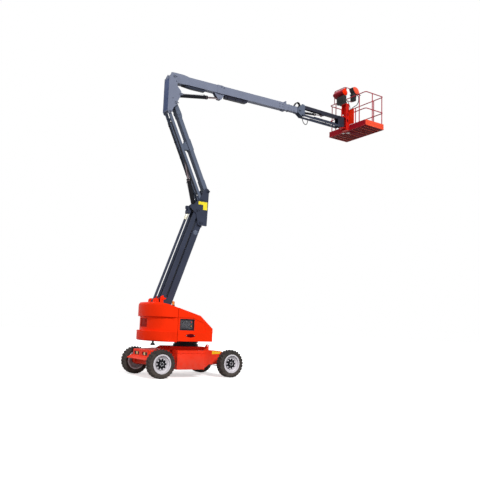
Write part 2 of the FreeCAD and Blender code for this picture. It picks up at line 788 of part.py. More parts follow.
C_X = S.foot_x + S.lower_length * cosine(S.lower_angle)
C_Z = S.foot_z + S.lower_length * sine(S.lower_angle)
G_X = C_X + S.knuckle_x
G_Z = C_Z + S.knuckle_z
I_X = G_X + S.upper_length * cosine(S.upper_angle)
I_Z = G_Z + S.upper_length * sine(S.upper_angle)
DECK_TOP = S.deck_bottom + S.deck_wall
SLOPE = math.degrees(math.atan2(value(S.seam_top) - value(S.ridge_z),
                                value(S.ridge_x) - value(S.seam_x)))


def top_line(x):
    """Height of the first top slope at an X value."""
    rise = (S.seam_top - S.ridge_z) / (S.ridge_x - S.seam_x)
    return S.ridge_z + (S.ridge_x - x) * rise


HINGE_Y = S.slot_half
HINGE_DROP = 30
frame_pieces = [
    block("deck", (S.seam_x - 450, S.cover_front - 60), (-PLATE_OUT - 20, PLATE_OUT + 20),
          (S.deck_bottom, DECK_TOP)),
    block("deck_wings", (S.seam_x, S.cover_front - 60), (-760, 760), (S.deck_bottom, DECK_TOP)),
]
for side, sign in SIDES:
    span = (PLATE_IN, PLATE_OUT) if sign > 0 else (-PLATE_OUT, -PLATE_IN)
    frame_pieces.append(prism("turntable_plate_" + side, "XZ", [(
        (S.seam_x - 440, DECK_TOP - 5, 0),
        (S.foot_x + S.rod_x - 80, S.foot_z + 60, 60),
        (S.foot_x + S.rod_x - 75, S.foot_z + S.rod_z + 75, 68),
        (S.foot_x + S.rod_x + 75, S.foot_z + S.rod_z + 75, 68),
        (S.foot_x + S.rod_x + 96, S.foot_z + 190, 10),
        (S.foot_x + S.link_x - 86, S.foot_z + 190, 10),
        (S.foot_x + S.link_x - 75, S.foot_z + S.link_z + 75, 68),
        (S.foot_x + S.link_x + 75, S.foot_z + S.link_z + 75, 68),
        (S.foot_x + 120, S.foot_z + 60, 60),
        (S.ridge_x, S.ridge_z - 90, 0),
        (S.cover_front - 90, S.nose_top - 60, 0),
        (S.cover_front - 90, DECK_TOP - 5, 0),
    )], span))
for pin_name, dx, dz in (("foot", 0, 0), ("rod", S.rod_x, S.rod_z)):
    frame_pieces.append(pin("turntable_pin_" + pin_name, S.foot_x + dx, S.foot_z + dz,
                            S.pin_radius, PLATE_OUT + 8))
# the rear rod swings down between the link's two pins
for side, sign in SIDES:
    frame_pieces.append(ring("turntable_pin_link_" + side, S.foot_x + S.link_x,
                             S.foot_z + S.link_z, S.pin_radius,
                             *mirrored(sign, S.link_inner - 4, PLATE_OUT + 8)))
frame_pieces.append(block("turntable_brace", (S.seam_x - 440, S.seam_x - 415),
                          (-PLATE_IN, PLATE_IN), (DECK_TOP, S.foot_z - 60)))
HINGE_PLACES = ((-560, "rear"), (-230, "fore"))
for side, sign in SIDES:
    for hinge_x, place in HINGE_PLACES:
        tag = "hinge_%s_%s" % (place, side)
        z = top_line(hinge_x) - HINGE_DROP
        lug_span = (PLATE_OUT - 5, HINGE_Y + 12) if sign > 0 else (-HINGE_Y - 12, -PLATE_OUT + 5)
        lugs = []
        for step in (-40, 30):
            lugs.append(block("%s_lug%d" % (tag, step), (step, step + 10), lug_span, (-60, 0)))
            lugs.append(drum("%s_round%d" % (tag, step), "X", (step, HINGE_Y * sign, 0), 12, 10))
        lugs.append(drum(tag + "_pin", "X", (-40, HINGE_Y * sign, 0), 8, 80))
        group = fuse(tag, lugs)
        put(group, hinge_x, 0, z, (0, 1, 0), SLOPE)
        frame_pieces.append(group)
node("turntable_frame", fuse("turntable_frame", frame_pieces))


def rear_plan(inset, taper):
    """Plan outline of one band of the rear hood, inset from the counterweight."""
    side = S.cover_half - inset
    back = S.hood_rear + inset
    front = S.seam_x - S.seam_gap / 2
    corner = S.band_corner - inset
    return (
        (front, -S.cover_half + taper, 0),
        (front - 120, -side, 0),
        (back, -side, corner),
        (back, side, corner),
        (front - 120, side, 0),
        (front, S.cover_half - taper, 0),
    )


weight_body = prism("weight_body", "XY", [(
    (S.seam_x - S.seam_gap / 2, -S.cover_half, 0),
    (S.hood_rear, -S.cover_half, S.band_corner),
    (S.hood_rear, S.cover_half, S.band_corner),
    (S.seam_x - S.seam_gap / 2, S.cover_half, 0),
)], (S.deck_bottom, S.band_low))
weight_slot = block("weight_slot", (S.seam_x - 450, S.seam_x + 50),
                    (-PLATE_OUT - 20, PLATE_OUT + 20), (S.deck_bottom - 5, S.band_low + 5))
node("counterweight", cut("counterweight", weight_body, [weight_slot]))


def rear_profile(name, drop):
    """Side profile of the rear hood's top, used to trim its bands."""
    return prism(name, "XZ", [(
        (S.hood_rear - 20, S.band_low - 5, 0),
        (S.hood_rear - 20, S.hood_top - drop, 0),
        (S.hood_rear + 190, S.hood_top - drop, 0),
        (S.seam_x, S.seam_top - drop, 0),
        (S.seam_x + 20, S.seam_top - drop - 6, 0),
        (S.seam_x + 20, S.band_low - 5, 0),
    )], (-S.cover_half - 20, S.cover_half + 20))


band_mid = prism("band_mid", "XY", [rear_plan(100, 12)], (S.band_low, S.band_high + 5))
band_top = prism("band_top", "XY", [rear_plan(46, 4)], (S.band_high, S.hood_top + 40))
hood_solid = common("hood_solid", fuse("hood_bands", [band_mid, band_top]),
                    rear_profile("hood_trim", 0))
CW = S.cover_wall
band_mid_in = prism("band_mid_in", "XY", [rear_plan(100 + CW, 12 + CW)],
                    (S.band_low - 20, S.band_high + 5))
band_top_in = prism("band_top_in", "XY", [rear_plan(46 + CW, 4 + CW)],
                    (S.band_high + CW, S.hood_top + 40))
hood_space = common("hood_space", fuse("hood_space_bands", [band_mid_in, band_top_in]),
                    rear_profile("hood_space_trim", CW))
hood_slot = block("hood_slot", (S.foot_x + S.rod_x - 140, S.seam_x + 50),
                  (-PLATE_OUT - 30, PLATE_OUT + 30), (S.band_low - 50, S.hood_top + 100))
hood_open_front = block("hood_open_front", (S.seam_x - 60, S.seam_x + 50),
                        (-S.cover_half + 60, S.cover_half - 60), (S.band_low - 5, S.band_high))
vent = block("hood_vent", (S.hood_rear + 60, S.hood_rear + 100 + 8), (-110, 270), (1230, 1450))
node("hood_rear", cut("hood_rear", hood_solid, [hood_space, hood_slot, hood_open_front, vent]))


def cover_profile(name, inset, span):
    """Side profile of one side cover."""
    return prism(name, "XZ", [(
        (S.seam_x + S.seam_gap / 2, S.deck_bottom + inset, 0),
        (S.seam_x + S.seam_gap / 2, S.seam_top - inset - 1, 0),
        (S.ridge_x - inset / 3, S.ridge_z - inset, 0),
        (S.cover_front - inset, S.nose_top - inset / 2, 0),
        (S.cover_front - inset, S.deck_bottom + inset, 0),
    )], span)


WINDOW = ((-630, -240), (1190, 1460))
for side, sign in SIDES:
    name = "cover_" + side
    outer = cover_profile(name + "_outer", 0, (S.slot_half, S.cover_half))
    inner = cover_profile(name + "_inner", CW, (S.slot_half - 20, S.cover_half - CW - 14))
    floor_cut = block(name + "_floor_cut", (S.seam_x - 20, S.cover_front - CW),
                      (S.slot_half - 20, S.cover_half - CW - 14),
                      (S.deck_bottom - 10, S.deck_bottom + CW + 5))
    hollow_rear = block(name + "_rear_cut", (S.seam_x - 20, S.seam_x + 60),
                        (S.slot_half - 20, S.cover_half - CW - 14),
                        (S.deck_bottom - 10, S.band_low + 100))
    panel = prism(name + "_panel", "XZ", [(
        (S.seam_x - 20, 1165, 0),
        (S.seam_x - 20, S.band_high, 0),
        (-280, S.band_high, 60),
        (S.ridge_x + 130, 1370, 60),
        (S.ridge_x + 170, 1120, 60),
        (-280, 1165, 60),
    )], (S.cover_half - 12, S.cover_half + 10))
    latch = prism(name + "_latch", "XZ", [(
        (-465, 1030, 20), (-465, 1078, 20), (-200, 1078, 20), (-200, 1030, 20),
    )], (S.cover_half - 12, S.cover_half + 10))
    tools = [inner, floor_cut, hollow_rear, panel, latch]
    if sign < 0:
        tools.append(block(name + "_window", WINDOW[0], (S.cover_half - 60, S.cover_half + 20),
                           WINDOW[1]))
    shell = cut(name + "_shell", outer, tools)
    barrels = [shell]
    bores = []
    for hinge_x, place in HINGE_PLACES:
        tag = "%s_%s" % (name, place)
        z = top_line(hinge_x) - HINGE_DROP
        barrel = fuse(tag + "_barrel", [
            drum(tag + "_tube", "X", (-29, HINGE_Y, 0), 17, 58),
            block(tag + "_web", (-29, 29), (HINGE_Y, HINGE_Y + 20), (0, HINGE_DROP - 5)),
        ])
        put(barrel, hinge_x, 0, z, (0, 1, 0), SLOPE)
        barrels.append(barrel)
        bore = drum(tag + "_bore", "X", (-60, HINGE_Y, 0), 8 + GAP, 120)
        carrier = fuse(tag + "_bore_place", [
            bore,
            drum(tag + "_clear_rear", "X", (-46, HINGE_Y, 0), 19, 16.7),
            drum(tag + "_clear_fore", "X", (29.3, HINGE_Y, 0), 19, 16.7),
        ])
        put(carrier, hinge_x, 0, z, (0, 1, 0), SLOPE)
        bores.append(carrier)
    piece = cut(name + "_piece", fuse(name + "_solid", barrels), bores)
    if sign < 0:
        mirror = DOC.addObject("Part::Mirroring", name + "_mirror")
        mirror.Source = piece
        mirror.Normal = V(0, 1, 0)
        piece = mirror
    node(name, piece)

panel_y = -(S.cover_half - 12 - CW - 26)
control_case = block("control_case", (-650, -220), (panel_y, panel_y + 130), (1160, 1480))
control_foot = block("control_foot", (-600, -560), (panel_y + 70, panel_y + 110), (DECK_TOP, 1165))
control_face = prism("control_face", "XZ", [(
    (-612, 1212, 10), (-612, 1438, 10), (-258, 1438, 10), (-258, 1212, 10),
)], (panel_y - 10, panel_y + 5))
knobs = []
for i, (kx, kz, kr) in enumerate((
        (-560, 1390, 22), (-470, 1390, 14), (-390, 1390, 14), (-310, 1390, 18),
        (-560, 1300, 14), (-470, 1300, 14), (-390, 1300, 14), (-310, 1290, 26),
        (-560, 1240, 10), (-470, 1240, 10), (-390, 1240, 10))):
    knobs.append(drum("knob_%d" % i, "Y", (kx, panel_y - 22, kz), kr, 20))
node("ground_controls", fuse("ground_controls", [control_case, control_foot, control_face] + knobs))

power_block = block("power_block", (-560, 120), (330, 660), (DECK_TOP, 1330))
node("power_pack", power_block)

BEACON_X = -500
BEACON_Y = -(PLATE_OUT + 1)
beacon_base = turned("beacon_base_turn", "XZ", "V_Axis", (
    (0, 0, 0), (42, 0, 0), (42, 40, 0), (37, 86, 0), (0, 86, 0),
))
node("beacon_base", fuse("beacon_base", [
    block("beacon_stem", (BEACON_X - 14, BEACON_X + 14), (-PLATE_OUT - 14, -PLATE_OUT),
          (S.seam_top - 130, S.seam_top + 10)),
    put(beacon_base, BEACON_X, BEACON_Y, S.seam_top),
]))
beacon_lens = turned("beacon_lens", "XZ", "V_Axis", (
    (0, 0, 0), (35, 0, 0), (35, 70, 0), (24, 94, 12), (0, 94, 0),
))
node("beacon_lens", put(beacon_lens, BEACON_X, BEACON_Y, S.seam_top + 86))

alarm = turned("travel_alarm", "XZ", "V_Axis", (
    (0, -110, 0), (56, -110, 0), (56, -80, 0), (26, -50, 0), (26, 0, 0), (0, 0, 0),
))
node("travel_alarm", put(alarm, -1225, -560, S.deck_bottom))


# Arms

def boss(name, x, radius, half=None):
    """A solid boss across a member, in its own frame."""
    return pin(name, x, 0, radius, BOSS_HALF if half is None else half)


def arm_tube(name, start, stop, depth, width, wall, centre=0):
    """A rectangular tube along local X, centred on local Y and at a height."""
    outer = block(name + "_outer", (start, stop), (-(width / 2), width / 2),
                  (centre - depth / 2, centre + depth / 2))
    inner = block(name + "_inner", (start - 5, stop + 5), (-(width / 2) + wall, width / 2 - wall),
                  (centre - depth / 2 + wall, centre + depth / 2 - wall))
    return cut(name, outer, [inner])


def stand(thing, x, z, angle):
    """Place a member by its pin and its elevation in the boom plane."""
    return put(thing, x, 0, z, (0, -1, 0), angle)


# Lower riser: arm, twin link and rear rod
lower_end = S.lower_depth / 2 + 14
lower_solid = fuse("lower_arm_solid", [
    arm_tube("lower_tube", 60, S.lower_length - 60, S.lower_depth, S.lower_width, S.tube_wall),
    boss("lower_foot_boss", 0, lower_end),
    boss("lower_head_boss", S.lower_length, lower_end - 14),
    block("lower_foot_cheek", (0, 190), (-(S.lower_width / 2) - 8, S.lower_width / 2 + 8),
          (-lower_end, lower_end)),
    block("lower_head_cheek", (S.lower_length - 120, S.lower_length),
          (-(S.lower_width / 2) - 6, S.lower_width / 2 + 6),
          (-(S.lower_depth / 2), S.lower_depth / 2)),
])
lower_arm = cut("lower_arm", lower_solid, [
    pin("lower_foot_bore", 0, 0, BORE, PLATE_OUT),
    pin("lower_head_bore", S.lower_length, 0, BORE, PLATE_OUT),
])
node("lower_arm", stand(lower_arm, S.foot_x, S.foot_z, S.lower_angle))


def twin_link(name, length, depth, ties):
    """Two bars side by side with round ends, held together by cross ties."""
    pieces = []
    for side, sign in SIDES:
        near, far = S.link_inner, S.link_inner + S.link_bar
        eye_far = BOSS_HALF
        span = (near, far) if sign > 0 else (-far, -near)
        eye_span = (near, eye_far) if sign > 0 else (-eye_far, -near)
        tag = "%s_%s" % (name, side)
        pieces.append(block(tag + "_bar", (0, length), span, (-(depth / 2), depth / 2)))
        pieces.append(ring(tag + "_foot", 0, 0, depth / 2, eye_span[0], eye_span[1]))
        pieces.append(ring(tag + "_head", length, 0, depth / 2, eye_span[0], eye_span[1]))
    for i, (at, low, high) in enumerate(ties):
        pieces.append(block("%s_tie%d" % (name, i), (at - 35, at + 35),
                            (-S.link_inner - 4, S.link_inner + 4), (low, high)))
    solid = fuse(name + "_solid", pieces)
    return cut(name, solid, [pin(name + "_foot_bore", 0, 0, BORE, PLATE_OUT),
                             pin(name + "_head_bore", length, 0, BORE, PLATE_OUT)])


half_link = S.link_depth / 2
lower_link = twin_link("lower_link", S.lower_length, S.link_depth, (
    (S.lower_length - 115, -half_link, -half_link + 8),
))
node("lower_link", stand(lower_link, S.foot_x + S.link_x, S.foot_z + S.link_z, S.lower_angle))

ROD_LUG_IN = S.riser_bore + 5
ROD_LUG_OUT = S.link_inner - 5
rod_solid = fuse("lower_rod_solid", [
    drum("lower_rod_bar", "X", (0, 0, 0), S.rod_radius, S.lower_length),
    pin("lower_rod_foot", 0, 0, 46, 39),
    pin("lower_rod_head", S.lower_length, 0, 42, ROD_LUG_IN - GAP),
    drum("lower_rod_collar", "X", (S.lower_length - 190, 0, 0), 40, 130),
])
lower_rod = cut("lower_rod", rod_solid, [
    pin("lower_rod_foot_bore", 0, 0, BORE, 60),
    pin("lower_rod_head_bore", S.lower_length, 0, SMALL_BORE, ROD_LUG_IN + 10),
])
node("lower_rod", stand(lower_rod, S.foot_x + S.rod_x, S.foot_z + S.rod_z, S.lower_angle))

# Middle knuckle, in its own frame at the lower arm's head pin
# The rod's pin hangs in two lugs inside the link bars, under a block on each plate's ear
LUG_X = S.rod_x + 36
LUG_Z = S.rod_z + 176
knuckle_pieces = []
for side, sign in SIDES:
    knuckle_pieces.append(block("knuckle_lug_block_" + side, (LUG_X - 20, LUG_X + 20),
                                mirrored(sign, ROD_LUG_IN, PLATE_IN + 10),
                                (LUG_Z - 20, LUG_Z + 20)))
    knuckle_pieces.append(prism("knuckle_rod_lug_" + side, "XZ", [(
        (S.rod_x - 40, S.rod_z - 40, 36),
        (S.rod_x + 40, S.rod_z - 40, 36),
        (LUG_X + 30, LUG_Z + 30, 12),
        (LUG_X - 30, LUG_Z + 30, 12),
        (S.rod_x - 40, S.rod_z + 40, 30),
    )], mirrored(sign, ROD_LUG_IN, ROD_LUG_OUT)))
    span = (PLATE_IN, PLATE_OUT) if sign > 0 else (-PLATE_OUT, -PLATE_IN)
    knuckle_pieces.append(prism("knuckle_plate_" + side, "XZ", [(
        (-60, -75, 50),
        (208, -80, 18),
        (S.knuckle_x + 48, S.knuckle_z - 60, 0),
        (S.knuckle_x + 78, S.knuckle_z + 84, 76),
        (S.knuckle_x - 70, S.knuckle_z + 70, 60),
        (S.knuckle_x + S.upper_link_x - 70, S.knuckle_z + S.upper_link_z + 20, 30),
        (LUG_X + 60, LUG_Z + 44, 40),
        (LUG_X - 42, LUG_Z + 44, 34),
        (LUG_X - 42, LUG_Z - 44, 34),
        (S.link_x - 30, S.link_z - 90, 30),
    )], span))
for pin_name, dx, dz in (
        ("foot", 0, 0), ("link", S.link_x, S.link_z), ("upper", S.knuckle_x, S.knuckle_z),
        ("upper_link", S.knuckle_x + S.upper_link_x, S.knuckle_z + S.upper_link_z)):
    knuckle_pieces.append(pin("knuckle_pin_" + pin_name, dx, dz, S.pin_radius, PLATE_OUT + 8))
knuckle_pieces.append(pin("knuckle_pin_rod", S.rod_x, S.rod_z, S.small_pin, ROD_LUG_OUT))
knuckle_pieces.append(block("knuckle_front", (188, 206), (-PLATE_IN, PLATE_IN),
                            (120, S.knuckle_z - 150)))
knuckle = fuse("knuckle", knuckle_pieces)
node("knuckle", put(knuckle, C_X, 0, C_Z))

# Upper riser: arm with the cylinder's bracket, and twin link
upper_centre = -4
upper_tube = arm_tube("upper_tube", 60, S.upper_length - 230, S.upper_depth, S.upper_width,
                      S.tube_wall, upper_centre)
head_cheek = prism("upper_head_cheek", "XZ", [(
    (S.upper_length - 420, -(S.upper_depth / 2) - 10, 0),
    (S.upper_length - 340, -(S.upper_depth / 2) - 26, 30),
    (S.upper_length + 20, -62, 50),
    (S.upper_length + 58, 0, 40),
    (S.upper_length + 20, 52, 40),
    (S.upper_length - 300, S.upper_depth / 2 + 4, 0),
    (S.upper_length - 420, S.upper_depth / 2 + 2, 0),
)], (-(S.upper_width / 2) - 8, S.upper_width / 2 + 8))
bracket_plates = []
eye_u, eye_v = S.riser_eye_u, S.riser_eye_v
for side, sign in SIDES:
    span = mirrored(sign, S.riser_lug, S.riser_lug + 22)
    bracket_plates.append(ring("riser_eye_pin_" + side, eye_u, eye_v, S.small_pin,
                               *mirrored(sign, S.riser_lug, S.riser_lug + 30)))
    bracket_plates.append(prism("riser_lug_" + side, "XZ", [(
        (eye_u - 130, 40, 0),
        (eye_u - 50, eye_v + 30, 40),
        (eye_u + 50, eye_v + 30, 40),
        (eye_u + 160, 40, 0),
    )], span))
bracket_collar = block("riser_collar", (eye_u - 150, eye_u + 170),
                       (-(S.upper_width / 2) - 10, S.upper_width / 2 + 10),
                       (upper_centre - S.upper_depth / 2 - 10, upper_centre + S.upper_depth / 2 + 10))
upper_solid = fuse("upper_arm_solid", [
    upper_tube, head_cheek, bracket_collar,
    boss("upper_foot_boss", 0, S.upper_depth / 2 + 20),
    block("upper_foot_cheek", (0, 330), (-(S.upper_width / 2) - 8, S.upper_width / 2 + 8),
          (-(S.upper_depth / 2) - 8, S.upper_depth / 2 + 6)),
    boss("upper_head_boss", S.upper_length, 52),
] + bracket_plates)
upper_arm = cut("upper_arm", upper_solid, [
    pin("upper_foot_bore", 0, 0, BORE, PLATE_OUT),
    pin("upper_head_bore", S.upper_length, 0, BORE, PLATE_OUT),
])
node("upper_arm", stand(upper_arm, G_X, G_Z, S.upper_angle))

half_upper = S.upper_link_depth / 2
upper_link = twin_link("upper_link", S.upper_length, S.upper_link_depth, (
    (220, -half_upper, -half_upper + 8),
    (S.upper_length - 200, -half_upper, -half_upper + 8),
))
node("upper_link", stand(upper_link, G_X + S.upper_link_x, G_Z + S.upper_link_z, S.upper_angle))


# Cylinders: a barrel with a bore and a rod that slides in it

def barrel_piece(name, radius, length, rod_radius, eye_half, eye_bore):
    solid = fuse(name + "_solid", [
        drum(name + "_tube", "X", (30, 0, 0), radius, length - 30),
        drum(name + "_gland", "X", (length - 55, 0, 0), radius + 5, 55),
        pin(name + "_eye", 0, 0, radius - 4, eye_half),
    ])
    return cut(name, solid, [
        drum(name + "_bore", "X", (radius + 10, 0, 0), radius - 8, length - radius - 30),
        drum(name + "_mouth", "X", (length - 30, 0, 0), rod_radius + GAP, 60),
        pin(name + "_pin_bore", 0, 0, eye_bore, radius + 20),
    ])


def rod_piece(name, radius, length, eye_half):
    """A rod that points back from its eye, which fills the gap between its lugs."""
    return fuse(name, [
        drum(name + "_bar", "X", (-length, 0, 0), radius, length),
        drum(name + "_collar", "X", (-radius - 34, 0, 0), radius + 5, 34),
        pin(name + "_eye", 0, 0, radius + 12, eye_half),
    ])


def aim(base_x, base_z, eye_x, eye_z):
    """Elevation from a cylinder's base pin to its eye."""
    angle = math.degrees(math.atan2(value(eye_z) - value(base_z), value(eye_x) - value(base_x)))
    text = "atan2(%s; %s)" % (formula(eye_z - base_z), formula(eye_x - base_x))
    return Dim(angle, text)


RISER_BASE = (C_X + S.link_x, C_Z + S.link_z)
RISER_EYE = (
    G_X + S.riser_eye_u * cosine(S.upper_angle) - S.riser_eye_v * sine(S.upper_angle),
    G_Z + S.riser_eye_u * sine(S.upper_angle) + S.riser_eye_v * cosine(S.upper_angle),
)
riser_aim = aim(RISER_BASE[0], RISER_BASE[1], RISER_EYE[0], RISER_EYE[1])
riser_barrel = barrel_piece("riser_barrel", S.riser_bore, S.riser_barrel, S.riser_rod, 52, BORE)
node("riser_barrel", stand(riser_barrel, RISER_BASE[0], RISER_BASE[1], riser_aim))
riser_rod = rod_piece("riser_rod", S.riser_rod, S.riser_rod_length, S.riser_lug - GAP)
node("riser_rod", stand(riser_rod, RISER_EYE[0], RISER_EYE[1], riser_aim))

# Upright, in its own frame at the upper arm's head pin
upright_pieces = []
for side, sign in SIDES:
    span = (PLATE_IN, PLATE_OUT) if sign > 0 else (-PLATE_OUT, -PLATE_IN)
    upright_pieces.append(prism("upright_plate_" + side, "XZ", [(
        (-225, -285, 0),
        (-222, S.boom_pivot_z - 50, 0),
        (S.boom_pivot_x - 92, S.boom_pivot_z + 92, 80),
        (S.boom_pivot_x + 92, S.boom_pivot_z + 92, 85),
        (10, 560, 60),
        (20, 470, 60),
        (S.lift_base_x + 10, S.lift_base_z + 80, 40),
        (S.lift_base_x - 5, S.lift_base_z - 60, 40),
        (48, 40, 30),
        (40, -52, 40),
        (-70, -160, 40),
        (S.upper_link_x + 40, S.upper_link_z - 62, 45),
        (S.upper_link_x - 44, S.upper_link_z - 62, 45),
    )], span))
upright_pieces.append(block("upright_back", (-243, -223), (-PLATE_OUT, PLATE_OUT),
                            (-285, S.boom_pivot_z - 50)))
upright_pieces.append(block("upright_web", (-223, -60), (-PLATE_IN, PLATE_IN), (330, 350)))
for pin_name, dx, dz in (
        ("arm", 0, 0), ("link", S.upper_link_x, S.upper_link_z),
        ("boom", S.boom_pivot_x, S.boom_pivot_z), ("lift", S.lift_base_x, S.lift_base_z)):
    upright_pieces.append(pin("upright_pin_" + pin_name, dx, dz, S.pin_radius, PLATE_OUT + 8))
node("upright", put(fuse("upright", upright_pieces), I_X, 0, I_Z))

# Main boom with its root cheeks, collars and the lift cylinder's lugs
P_X = I_X + S.boom_pivot_x
P_Z = I_Z + S.boom_pivot_z
boom_low = -S.boom_drop - S.boom_depth / 2
boom_high = -S.boom_drop + S.boom_depth / 2
boom_tube = arm_tube("boom_tube", 60, S.boom_length, S.boom_depth, S.boom_width, S.tube_wall,
                     -S.boom_drop)
root = prism("boom_root", "XZ", [(
    (-70, 70, 50),
    (60, boom_high + 26, 40),
    (330, boom_high + 24, 0),
    (470, boom_high, 0),
    (470, boom_low, 0),
    (300, boom_low - 18, 0),
    (40, boom_low - 18, 40),
    (-70, -70, 50),
)], (-(S.boom_width / 2) - 12, S.boom_width / 2 + 12))
root_core = block("boom_root_core", (130, 600),
                  (-(S.boom_width / 2) + S.tube_wall, S.boom_width / 2 - S.tube_wall),
                  (boom_low + S.tube_wall, boom_high - S.tube_wall))
lugs = []
for side, sign in SIDES:
    span = mirrored(sign, S.lift_lug, S.lift_lug + 22)
    lugs.append(ring("lift_eye_pin_" + side, S.lift_eye_u, -S.lift_eye_v, S.small_pin + 4,
                     *mirrored(sign, S.lift_lug, S.lift_lug + 30)))
    lugs.append(prism("lift_lug_" + side, "XZ", [(
        (S.lift_eye_u - 190, boom_low + 3, 0),
        (S.lift_eye_u + 160, boom_low + 3, 0),
        (S.lift_eye_u + 52, -S.lift_eye_v - 50, 44),
        (S.lift_eye_u - 52, -S.lift_eye_v - 50, 44),
    )], span))
boom_collars = []
for i, (start, stop, extra) in enumerate((
        (S.lift_eye_u - 95, S.lift_eye_u + 95, 9), (S.boom_length - 55, S.boom_length, 10))):
    boom_collars.append(block("boom_collar%d" % i, (start, stop),
                              (-(S.boom_width / 2) - extra, S.boom_width / 2 + extra),
                              (boom_low - extra, boom_high + extra)))
collar_core = block("boom_collar_core", (S.lift_eye_u - 300, S.boom_length + 10),
                    (-(S.boom_width / 2) + S.tube_wall, S.boom_width / 2 - S.tube_wall),
                    (boom_low + S.tube_wall, boom_high - S.tube_wall))
boom_solid = fuse("main_boom_solid", [
    cut("boom_root_shell", root, [root_core]), boom_tube,
    cut("boom_collar_shells", fuse("boom_collar_blocks", boom_collars), [collar_core]),
    boss("boom_root_boss", 0, 66),
] + lugs)
main_boom = cut("main_boom", boom_solid, [pin("boom_root_bore", 0, 0, BORE, PLATE_OUT)])
node("main_boom", stand(main_boom, P_X, P_Z, S.boom_angle))

tray = prism("boom_tray", "XZ", [(
    (S.lift_eye_u + 180, boom_low, 0),
    (2480, boom_low, 0),
    (2480, boom_low - 85, 50),
    (2400, boom_low - 98, 50),
    (S.lift_eye_u + 180, boom_low - 98, 0),
)], (-55, 55))
node("boom_tray", stand(tray, P_X, P_Z, S.boom_angle))

LIFT_BASE = (I_X + S.lift_base_x, I_Z + S.lift_base_z)
LIFT_EYE = (
    P_X + S.lift_eye_u * cosine(S.boom_angle) + S.lift_eye_v * sine(S.boom_angle),
    P_Z + S.lift_eye_u * sine(S.boom_angle) - S.lift_eye_v * cosine(S.boom_angle),
)
lift_aim = aim(LIFT_BASE[0], LIFT_BASE[1], LIFT_EYE[0], LIFT_EYE[1])
lift_barrel = barrel_piece("lift_barrel", S.lift_bore, S.lift_barrel, S.lift_rod, 46, BORE)
node("lift_barrel", stand(lift_barrel, LIFT_BASE[0], LIFT_BASE[1], lift_aim))
lift_rod = rod_piece("lift_rod", S.lift_rod, S.lift_rod_length, S.lift_lug - GAP)
node("lift_rod", stand(lift_rod, LIFT_EYE[0], LIFT_EYE[1], lift_aim))

# Inner boom
JIB_IN = S.jib_gap / 2
JIB_OUT = JIB_IN + S.jib_plate
JIB_BOSS = JIB_IN - GAP
FLY_TIP = S.boom_length + S.fly_reach
LEVEL_U = FLY_TIP + S.level_reach
fly_tube = arm_tube("fly_tube", S.fly_tail, FLY_TIP, S.fly_depth, S.fly_width, S.tube_wall,
                    -S.boom_drop)
fly_nose = prism("fly_nose", "XZ", [(
    (FLY_TIP - 120, -S.boom_drop - S.fly_depth / 2 + 8, 0),
    (LEVEL_U + 20, S.level_v - 48, 44),
    (LEVEL_U + 48, S.level_v, 30),
    (LEVEL_U + 20, S.level_v + 48, 44),
    (FLY_TIP - 120, -S.boom_drop + S.fly_depth / 2 - 8, 0),
)], (-(S.fly_width / 2) + S.tube_wall, S.fly_width / 2 - S.tube_wall))
pads = []
for i, start in enumerate((S.fly_tail + 40, S.boom_length - 260)):
    pads.append(block("fly_pad%d" % i, (start, start + 120),
                      (-(S.boom_width / 2) + S.tube_wall + GAP, S.boom_width / 2 - S.tube_wall - GAP),
                      (boom_low + S.tube_wall + GAP, boom_high - S.tube_wall - GAP)))
fly_collar = block("fly_collar", (S.boom_length + 120, S.boom_length + 150),
                   (-(S.fly_width / 2) - 10, S.fly_width / 2 + 10),
                   (-S.boom_drop - S.fly_depth / 2 - 10, -S.boom_drop + S.fly_depth / 2 + 10))
fly_core = block("fly_core", (S.fly_tail - 10, FLY_TIP - 125),
                 (-(S.fly_width / 2) + S.tube_wall, S.fly_width / 2 - S.tube_wall),
                 (-S.boom_drop - S.fly_depth / 2 + S.tube_wall,
                  -S.boom_drop + S.fly_depth / 2 - S.tube_wall))
fly_shell = cut("fly_shell", fuse("fly_outer", [fly_tube, fly_collar] + pads), [fly_core])
fly_solid = fuse("fly_solid", [fly_shell, fly_nose,
                               pin("fly_nose_boss", LEVEL_U, S.level_v, 46, JIB_BOSS)])
extension = cut("boom_extension", fly_solid,
                [pin("fly_nose_bore", LEVEL_U, S.level_v, SMALL_BORE, JIB_OUT)])
node("boom_extension", stand(extension, P_X, P_Z, S.boom_angle))

# Jib bracket at the boom's tip, in its own frame at the levelling pin
L_X = P_X + LEVEL_U * cosine(S.boom_angle) - S.level_v * sine(S.boom_angle)
L_Z = P_Z + LEVEL_U * sine(S.boom_angle) + S.level_v * cosine(S.boom_angle)
bracket_pieces = []
for side, sign in SIDES:
    span = (JIB_IN, JIB_OUT) if sign > 0 else (-JIB_OUT, -JIB_IN)
    bracket_pieces.append(prism("jib_bracket_plate_" + side, "XZ", [(
        (-62, -60, 50),
        (-62, 60, 50),
        (S.jib_pin_x - 60, S.jib_pin_z + 62, 50),
        (S.jib_pin_x + 62, S.jib_pin_z + 62, 55),
        (S.jib_pin_x + 50, S.jib_pin_z + S.jib_link_z - 30, 40),
        (S.jib_pin_x + S.jib_link_x - 46, S.jib_pin_z + S.jib_link_z - 46, 40),
    )], span))
    span = (JIB_IN, S.link_inner + S.link_bar + 6)
    if sign < 0:
        span = (-(S.link_inner + S.link_bar + 6), -JIB_IN)
    bracket_pieces.append(ring("jib_bracket_stub_" + side, S.jib_pin_x + S.jib_link_x,
                               S.jib_pin_z + S.jib_link_z, S.small_pin, span[0], span[1]))
    bracket_pieces.append(ring("jib_bracket_trunnion_" + side, S.jib_pin_x, S.jib_pin_z,
                               S.small_pin, *mirrored(sign, S.jib_width / 2 - S.jib_wall,
                                                      JIB_OUT + 6)))
bracket_pieces.append(pin("jib_bracket_pin_level", 0, 0, S.small_pin, JIB_OUT + 6))
